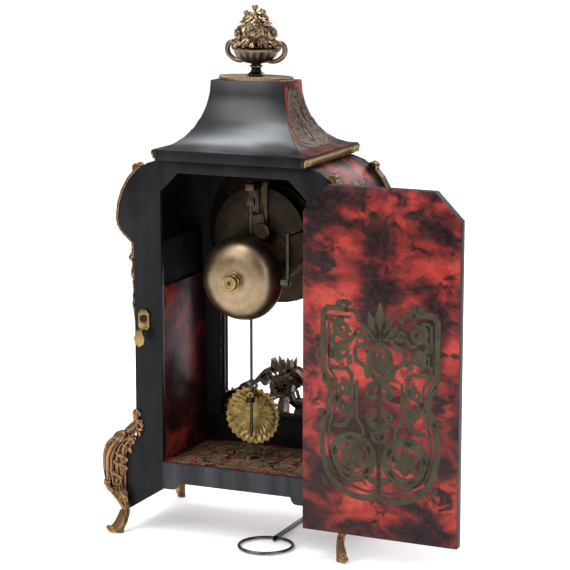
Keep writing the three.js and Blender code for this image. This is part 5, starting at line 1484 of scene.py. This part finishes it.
shaped(foot, waisted)
foot_slices = slices(foot)
fluted(foot, foot_slices, 16, 1.3, LOBE[0] + GROUND, LOBE[1] + GROUND)
fluted(foot, foot_slices, 9, 0.8, LOBE[1] + GROUND, NECK[1] + GROUND, twist=0.25)
fluted(foot, foot_slices, 8, 0.8, 8 + GROUND, ANKLE_TOP + 2 + GROUND, twist=-0.12)
foot_rods = []
for surface in (foot_back, foot_flank):
    foot_rods += [
        rod_on(surface, [
            (113, 2), (104, -2), (95, 1), (88, 6), (82, 10.5), (70, 11), (56, 11), (45, 9),
        ], 2.2),
        rod_on(surface, [(104, 0), (96, -5), (84, -7), (70, -9), (56, -9.5), (46, -7), (36, -4)], 1.3),
        rod_on(surface, [(44, 6), (36, 5), (27, 2), (17, 1), (8, 1)], 1.5),
        rod_on(surface, [(40, -5), (31, -4), (22, -1), (12, -1)], 1.1),
        spiral_on(surface, 87, 6, 5.8, 1.5, 200, -1, 2.4),
        spiral_on(surface, 42, 7.5, 5.4, 1.5, -160, 1, 2.4),
        spiral_on(surface, 47, -5, 3.6, 1.3, -20, -1, 1.2),
        spiral_on(surface, 31, -2.5, 3.8, 1.3, 120, 1, 1.2),
        spiral_on(surface, 110, -2, 3.4, 1.3, -60, 1, 1.1),
        rod_on(surface, [(78, 5), (64, 5.5), (52, 5)], 1.0),
        rod_on(surface, [(80, 0), (65, 0), (50, 0)], 1.2),
        rod_on(surface, [(78, -4.5), (64, -5.5), (54, -5)], 1.0),
    ]
for i in range(7):  # leaves that lap over the black stile
    z = 100 - 8.2 * i
    reach = 6.5 + 6.5 * math.sin(math.pi * (i + 0.6) / 7) + 1.5 * (i % 2)
    foot_rods += [
        rod_on(foot_back, [(z + 7, -reach + 10), (z + 2, -reach + 3), (z - 2.5, -reach - 1.5)], 2.3),
        rod_on(foot_back, [(z + 5, -reach + 9), (z + 4, -reach + 5), (z + 4.5, -reach + 1)], 1.6),
        rod_on(foot_flank, [(z + 6, -reach + 9), (z + 1, -reach + 3), (z - 2.5, -reach)], 2.0),
    ]
toe_x, toe_y, _, _ = slice_at(foot_slices, 3 + GROUND)
foot_rods.append([
    (above(toe_x + out, toe_y + out, height), radius * MM) for out, height, radius in catmull(TOE, 5)
])
foot = joined([foot, tubes(foot_rods, "foot_chasing", 2)], "foot")
foot_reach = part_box("foot_back_right")[1] / MM
shaped(foot, lambda at: (
    min(at.x, foot_reach.x), min(at.y, foot_reach.y), max(at.z, GROUND + 0.02),
))
feet = at_corners(foot, "foot")
print("foot faces:", len(feet[0].data.polygons))

# %% [markdown]
# At each corner a strip runs over the shoulder and ends in a small scroll, and below it hangs a
# slim twisted console with a capital of thin discs.

# %% Corner mounts
CONSOLE_LOW = 189 + GROUND
CONSOLE_HIGH = 266 + GROUND
mount = even_skin("corner_mount_back_right", 0.6)
mount_slices = slices(mount)
fluted(mount, mount_slices, 6, 1.3, CONSOLE_LOW + 2, CONSOLE_HIGH - 8, twist=0.22)
fluted(mount, mount_slices, 2, 0.8, CONSOLE_LOW, CONSOLE_LOW + 30, twist=0.9)


def disc_round(z, share):
    """A closed ring round the console at one height."""
    cx, cy, rx, ry = slice_at(mount_slices, z)
    line = []
    for i in range(24):
        angle = math.pi * i / 12
        at = Vector((cx + share * rx * math.cos(angle), cy + share * ry * math.sin(angle), z))
        line.append((at * MM, 0.9 * MM))
    return line


discs = [
    disc_round(CONSOLE_HIGH - 1.2, 1.0), disc_round(CONSOLE_HIGH - 4.4, 0.85),
    disc_round(CONSOLE_HIGH - 8, 1.0), disc_round(CONSOLE_LOW + 26, 0.9),
]


def console_back(z, sideways):
    """A point on the console's rounded back."""
    cx, cy, rx, ry = slice_at(mount_slices, z)
    over = min(0.95, abs(sideways) / rx)
    return Vector((cx + sideways, cy + ry * math.sqrt(1 - over ** 2), z)) * MM


mount_rods = [
    rod_on(console_back, [
        (CONSOLE_HIGH - 10, 2), (CONSOLE_HIGH - 24, -2.5), (CONSOLE_HIGH - 40, 2), (CONSOLE_LOW + 24, -1),
    ], 1.1),
    rod_on(console_back, [(CONSOLE_HIGH - 12, -3), (CONSOLE_HIGH - 22, 0), (CONSOLE_HIGH - 32, 3)], 1.0),
    rod_on(console_back, [(CONSOLE_LOW + 30, 3), (CONSOLE_LOW + 18, 0), (CONSOLE_LOW + 3, 0.5)], 1.2),
    spiral_on(console_back, CONSOLE_HIGH - 13, 2.2, 2.8, 1.2, 90, -1, 1.0),
]
mount = joined([
    mount, tubes(discs, "capital", 2, closed=True), tubes(mount_rods, "console_leaf", 2),
], "corner_mount")
mounts = at_corners(mount, "corner_mount")
print("corner mount faces:", len(mounts[0].data.polygons))

# %% [markdown]
# Two flat mounts sit on the front: a pierced relief of scrolls in the foot of the window, seen
# from behind as a dark outline, and a scrolled apron. Their backs get a near-black gilt, painted shade.

# %% Window relief and apron
ROD_LIMIT = 1.9  # no rod on a front mount is thicker than this radius
# near-black metal for the mounts' backs, painted shade where they face into the case
shaded_relief_back = cast_metal(
    "shaded_relief_back", (0.075, 0.050, 0.036), (0.022, 0.015, 0.012), (0.008, 0.006, 0.005),
)


def pierced(node, lines, name):
    """A casting sawn out between its scrolls, as thick as its node."""
    low_corner, high_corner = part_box(node)
    piece = laid(swept(lines, name), "front", (0, high_corner.y - MM, cad_low.z))
    edit(piece)
    bpy.ops.mesh.normals_make_consistent(inside=False)
    done()
    modify(piece, "SOLIDIFY", thickness=high_corner.y - low_corner.y - 3 * MM, offset=-1)
    return smooth(piece, 30)


def chased_front(node, rods, name, sawn=False):
    """A flat casting with rods on its front; its back gets a near-black finish as painted shade."""
    piece = pierced(node, rods, name) if sawn else even_skin(node, 0.7)
    front_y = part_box(node)[0].y / MM + (2.0 if sawn else 0.4)
    rod_lines = [
        [(above(x, front_y, z), min(half, ROD_LIMIT) * MM) for x, z, half in line] for line in rods
    ]
    piece = joined([piece, tubes(rod_lines, name + "_rods", 2)], name)
    stand_in(piece, name, [gilt, shaded_relief_back], node)
    middle_y = (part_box(node)[0].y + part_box(node)[1].y) / 2
    for face in piece.data.polygons:
        face.material_index = 1 if face.center.y > middle_y else 0
    return piece


relief_half = [
    volute(50, 104, 8, 1.5, 150, 2.4, -1),
    volute(36, 116, 6, 1.4, -60, 2.2, 1),
    volute(22, 97, 7, 1.5, 120, 2.4, 1),
    volute(15, 128, 5, 1.3, -90, 2.0, 1),
    leaf(6, 134, 62, 14, 2.6),
    leaf(8, 108, -20, 20, 2.8),
    leaf(12, 88, -10, 20, 2.8),
    leaf(30, 108, 20, 16, 2.6),
    leaf(42, 94, 40, 12, 2.4),
    leaf(56, 104, 60, 9, 2.2),
    tapered([(6, 138), (14, 136), (22, 128), (30, 120)], 2.6),
    tapered([(2, 92), (16, 86), (34, 89), (54, 98)], 3.0),
    tapered([(38, 108), (46, 112), (54, 110), (61, 103)], 2.4),
    tapered([(4, 84), (18, 83), (30, 85)], 2.4),
    strap([(9, 116), (13, 106), (22, 104), (30, 110)], 1.8, True),
]
relief_middle = [
    ring(0, 122, 9, 2.6, steps=28),
    ring(0, 122, 4, 2.6, steps=20),
    leaf(0, 132, 90, 15, 3.0, 0),
    leaf(0, 112, -90, 26, 3.4, 0),
    *rosette(0, 122, 7, 8),
]
chased_front("window_relief", mirrored(relief_half) + relief_middle, "window_relief_chased", sawn=True)
apron_half = [
    volute(38, 62, 5.5, 1.5, 20, 1.4, 1),
    volute(20, 63, 5, 1.4, 160, 1.3, -1),
    tapered([(4, 71), (18, 69), (34, 67), (44, 66)], 1.5),
    tapered([(3, 56), (16, 59), (30, 59)], 1.4),
    leaf(4, 64, 30, 12, 1.8),
    leaf(4, 60, -20, 10, 1.6),
]
apron_middle = [ring(0, 64, 6, 1.4, steps=24), *rosette(0, 64, 4.4, 6)]
chased_front("apron_mount", mirrored(apron_half) + apron_middle, "apron_chased")
print("front mounts: 2")

# %% [markdown]
# The winding key is a bent rod: a whole ring, and a shaft whose flattened end is brazed across
# it. The shaft and its socket are the frame's own, under an even skin of small faces.

# %% Winding key
key_low, key_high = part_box("winding_key")
RING_WIRE = 1.5
ring_radius = (key_high.x - key_low.x) / 2 / MM - RING_WIRE
ring_centre = Vector((
    (key_low.x + key_high.x) / 2 / MM, key_high.y / MM - ring_radius - RING_WIRE, GROUND + 2.3,
))
key = even_skin("winding_key", 0.55)
shaft_end = ring_centre.y - ring_radius + 3
SHAFT_HALF = 6  # what lies farther out than this is the frame's own ring
edit(key, lambda face: (
    face.center.y / MM > shaft_end or abs(face.center.x / MM - ring_centre.x) > SHAFT_HALF
))
bpy.ops.mesh.delete(type="FACE")
done()
ring_line = []
for i in range(96):
    spoke = Vector((math.cos(math.pi * i / 48), math.sin(math.pi * i / 48), 0))
    ring_line.append(((ring_centre + ring_radius * spoke) * MM, RING_WIRE * MM))
flat_end = [
    (Vector((ring_centre.x, shaft_end + reach, ring_centre.z)) * MM, radius * MM)
    for reach, radius in ((-5, 2.2), (-1, 2.25), (1.5, 1.9), (4, 1.2), (5, 0.6))
]
key = joined([
    key, tubes([ring_line], "key_ring", 4, closed=True), tubes([flat_end], "key_end", 4),
], "key")
key_iron = plain_metal(
    "key_iron", (0.20, 0.19, 0.18), (0.035, 0.032, 0.030), rough=(0.24, 0.5), scale=90,
)
stand_in(key, "bent_key", [key_iron], "winding_key")
print("key faces:", len(key.data.polygons))

# %% [markdown]
# A string of beads frames the window glass. It is one rod whose radius swells and shrinks along
# a path that goes up one side, round the arch and down the other.

# %% Beading round the window
bead_low, bead_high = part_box("glass_bead")
BEAD = 2.6  # millimetres from one bead to the next
POINTS_PER_BEAD = 5
ARCH_STEPS = 40
bead_y = (bead_low.y + bead_high.y) / 2 / MM
arch_x = bead_high.x / MM - 1.0
spring_z = bead_high.z / MM - arch_x
path = [Vector((-arch_x, bead_y, z)) for z in (bead_low.z / MM + 0.6, spring_z)]
for i in range(1, ARCH_STEPS):
    angle = math.pi * i / ARCH_STEPS
    path.append(Vector((-arch_x * math.cos(angle), bead_y, spring_z + arch_x * math.sin(angle))))
path += [Vector((arch_x, bead_y, z)) for z in (spring_z, bead_low.z / MM + 0.6)]
lengths = [(b - a).length for a, b in zip(path, path[1:])]
bead_line = []
steps = int(sum(lengths) / BEAD * POINTS_PER_BEAD)
for i in range(steps + 1):
    reach = sum(lengths) * i / steps
    leg = 0
    while leg < len(lengths) - 1 and reach > lengths[leg]:
        reach -= lengths[leg]
        leg += 1
    at = path[leg].lerp(path[leg + 1], min(1, reach / lengths[leg]))
    bead_line.append((at * MM, (0.5 + 1.2 * abs(math.sin(math.pi * i / POINTS_PER_BEAD))) * MM))
beading = joined([merged_copy("glass_bead"), tubes([bead_line], "beads", 1)], "beading")
smooth(beading, 40)
stand_in(beading, "beading", [dark_brass], "glass_bead")
print("bead string:", round(sum(lengths)), "mm")

# %% [markdown]
# Two more rows stand at the window's upright edges, inside the case. Seen from behind, each is a
# row of small dark bumps against the light.

# %% Beads at the window's edge
WINDOW_HALF = 59.0  # half the window's width, in millimetres
WINDOW_FOOT = 92.0  # its foot, above the ground
EDGE_PITCH = 3.0  # from one bead to the next
EDGE_LENGTH = 120
edge_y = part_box("front_frame")[1].y / MM - 1.2
edge_lines = []
for side in (-1, 1):
    line = []
    for i in range(4 * int(EDGE_LENGTH / EDGE_PITCH)):
        at = Vector((side * (WINDOW_HALF + 0.3), edge_y, WINDOW_FOOT + GROUND + 2 + EDGE_PITCH * i / 4))
        line.append((at * MM, (0.5 + 1.3 * abs(math.sin(math.pi * i / 4))) * MM))
    edge_lines.append(line)
edge_beads = tubes(edge_lines, "window_edge_beads", 2)
finished(edge_beads, "window_edge_beads", [dark_brass], "case")
print("window edge beads:", len(edge_beads.data.polygons), "faces")

# %% [markdown]
# The dial is a gilt plate with twelve enamel cartouches. The hours are Roman numbers and the
# minutes are strokes, both in dark blue ink. Its back is dark brass, painted shade for the dim inside of
# the case.

# %% Dial
dial_low, dial_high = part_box("dial_plate")
DIAL_Z = 272 + GROUND
CARTOUCHE_RADIUS = 52
CARTOUCHE_HALF = 7
dial_front = dial_low.y / MM
dial = eased("dial_plate", [gilt], 0.2, name="dial_face")


def dial_finish(face):
    """Gilt in front, enamel on the cartouches and dark brass behind as painted shade."""
    x = face.center.x / MM
    z = face.center.z / MM - DIAL_Z
    reach = math.hypot(x, z)
    # faces that look backwards get dark brass as painted shade
    if face.normal.y > 0.3:
        return 2
    foremost = face.center.y / MM < dial_front + 0.3 and face.normal.y < -0.9
    return 1 if foremost and abs(reach - CARTOUCHE_RADIUS) < CARTOUCHE_HALF else 0


dress(dial, [gilt, white_enamel, dark_brass, gilt], dial_finish)
NUMERALS = "XII I II III IIII V VI VII VIII IX X XI".split()
numerals = []
for hour, letters in enumerate(NUMERALS):
    angle = math.radians(30 * hour)
    bpy.ops.object.select_all(action="DESELECT")
    bpy.ops.object.text_add()
    text = bpy.context.object
    text.data.body = letters
    text.data.size = 9.5 * MM
    text.data.space_character = 0.85
    text.data.align_x = "CENTER"
    text.data.align_y = "CENTER"
    text.data.extrude = 0.08 * MM
    bpy.ops.object.convert(target="MESH")
    numeral = bpy.context.object
    across = [vertex.co.x for vertex in numeral.data.vertices]
    width = max(1 * MM, max(across) - min(across))
    numeral.scale = (min(1, 10 * MM / width), 1.35, 1)
    numeral.rotation_euler = (math.radians(90), 0, 0)
    numeral.location = (
        CARTOUCHE_RADIUS * math.sin(angle) * MM, (dial_front - 0.08) * MM,
        (DIAL_Z + CARTOUCHE_RADIUS * math.cos(angle)) * MM,
    )
    numerals.append(place(numeral))
hours = joined(numerals, "hour_numerals")
edit(hours)
bpy.ops.mesh.remove_doubles(threshold=0.002 * MM)
bpy.ops.mesh.normals_make_consistent(inside=False)
done()
finished(hours, "hour_numerals", [ink], "case")
strokes = []
for minute in range(60):
    angle = math.radians(6 * minute)
    inner, half = (62.2, 0.45) if minute % 5 else (61.8, 0.9)
    strokes.append([(r * math.sin(angle), r * math.cos(angle), half) for r in (inner, 64.4)])
inlay(
    "minute_strokes", strokes, "front", (0, (dial_front + 0.15) * MM, DIAL_Z * MM), "case", ink,
    sheet=0.12 * MM,
)
print("dial: 12 numerals, 60 strokes")

# %% [markdown]
# The rest of the inlay. The case floor wears the panel twice, side by side; the flanks and the
# roof wear it stretched to their own outline and pressed on to their curves.

# %% Inlay on the case
START_OUT = 0.14  # how far out a drawing is laid, in metres, before it is pressed on to the veneer
ROOF_FOOT = 357  # heights above the ground, in millimetres, of the drawings' lower ends
FLANK_FOOT = 70
SHOULDER_FOOT = 238


def fitted(half_at_foot, half_at_head, height, fat=1.0, foot=0.0):
    """The panel's drawing squeezed into an upright shape with two widths and a height."""
    lines = []
    for line in panel_lines():
        row = []
        for x, y, half in line:
            share = y / PANEL_HEIGHT
            wide = half_at_foot + (half_at_head - half_at_foot) * share
            row.append((x / PANEL_HALF * wide, foot + share * height, fat * half))
        lines.append(row)
    return lines


def pressed(name, drawing, side, foot, onto):
    """Lays a drawing well out from a side of the case and presses it on to the veneer."""
    outward = SIDE_OUTWARD[side]
    at = (START_OUT * outward.x, START_OUT * outward.y, cad_low.z + foot * MM)
    inlay(name, drawing, side, at, "case", flank_inlay, onto=onto)


floor_lines = []
for side in (-1, 1):
    floor_lines += scaled(panel_lines(), 0.6, 0.5, x=34 * side, y=-40)
inlay("floor_inlay", floor_lines, "up", (0, 0, floor_top), "case", tan_inlay)

for side in ("left", "right"):
    flank = bpy.data.objects["side_" + side + "_made"]
    pressed("roof_inlay_" + side, fitted(37, 11, 49, fat=0.85, foot=2), side, ROOF_FOOT, roof)
    pressed("flank_inlay_" + side, fitted(32, 34, 150, fat=0.9), side, FLANK_FOOT, flank)
    pressed("shoulder_inlay_" + side, fitted(34, 24, 92, fat=0.8), side, SHOULDER_FOOT, flank)
pressed("roof_inlay_front", fitted(56, 26, 49, fat=0.85, foot=2), "front", ROOF_FOOT, roof)
front_lines = []
for i in range(7):  # a scroll, a leaf and a strap, seven times up each side of the glass
    z = 108 + 21 * i
    front_lines += [volute(64.5, z, 4.0, 1.4, 80, 1.2, 1), leaf(63, z + 7, 95, 10, 1.5, 0.2)]
    front_lines.append(strap([(60.5, z - 8), (60.5, z + 10)], 0.5))
front_lines += [
    strap([(8, 86), (30, 84), (52, 88), (66, 92)], 1.0, True),
    volute(24, 90, 3.6, 1.3, 0, 1.0, 1),
    leaf(34, 86, 30, 12, 1.5, 0.2),
    volute(48, 91, 3.4, 1.3, 40, 1.0, -1),
]
frame_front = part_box("front_door")[0].y
inlay(
    "front_door_inlay", mirrored(front_lines), "front", (0, frame_front, cad_low.z), body_of["front_door"],
    flank_inlay,
)
print("inlays laid")

# %% [markdown]
# A round plug fills an old keyhole high in the back door.

# %% Door plug
PLUG_HEIGHT = 311  # above the ground, in millimetres
PLUG_ASIDE = 7  # from the door's middle
plug_along = Vector((door_normal.y, -door_normal.x, 0))
plug_at = door_face + plug_along * PLUG_ASIDE * MM
plug = turned("door_plug", [
    (0, -0.4), (4.2, -0.4), (4.2, 0.35), (3.7, 0.75), (2.9, 0.8), (2.5, 0.45), (1.5, 0.45),
    (1.2, 0.8), (0, 0.9),
], (0, 0, 0), steps=36)
plug.rotation_euler = (0, 0, -door_slant)
plug.location = (plug_at.x, plug_at.y, cad_low.z + PLUG_HEIGHT * MM)
place(plug)
finished(plug, "door_plug", [dark_brass], "back_door")
print("plug at", plug_at)

# %% [markdown]
# What has not been given its own piece keeps its CAD node with a fitting finish.

# %% Finishes on the rest
FINISH_OF_SLOT = {
    "lacquer": black, "tortoiseshell": shell_case, "dark_wood": oak, "gilt": gilt, "brass": brass,
    "dark_brass": dark_brass, "bell_metal": brass, "steel": steel, "iron": iron,
    "enamel": white_enamel, "glass": glass,
}
for name, node in nodes.items():
    node.data.materials.clear()
    node.data.materials.append(FINISH_OF_SLOT[slot_of[name]])

# %% Print the frame's box and finish
print("cad box", cad_low, cad_high)
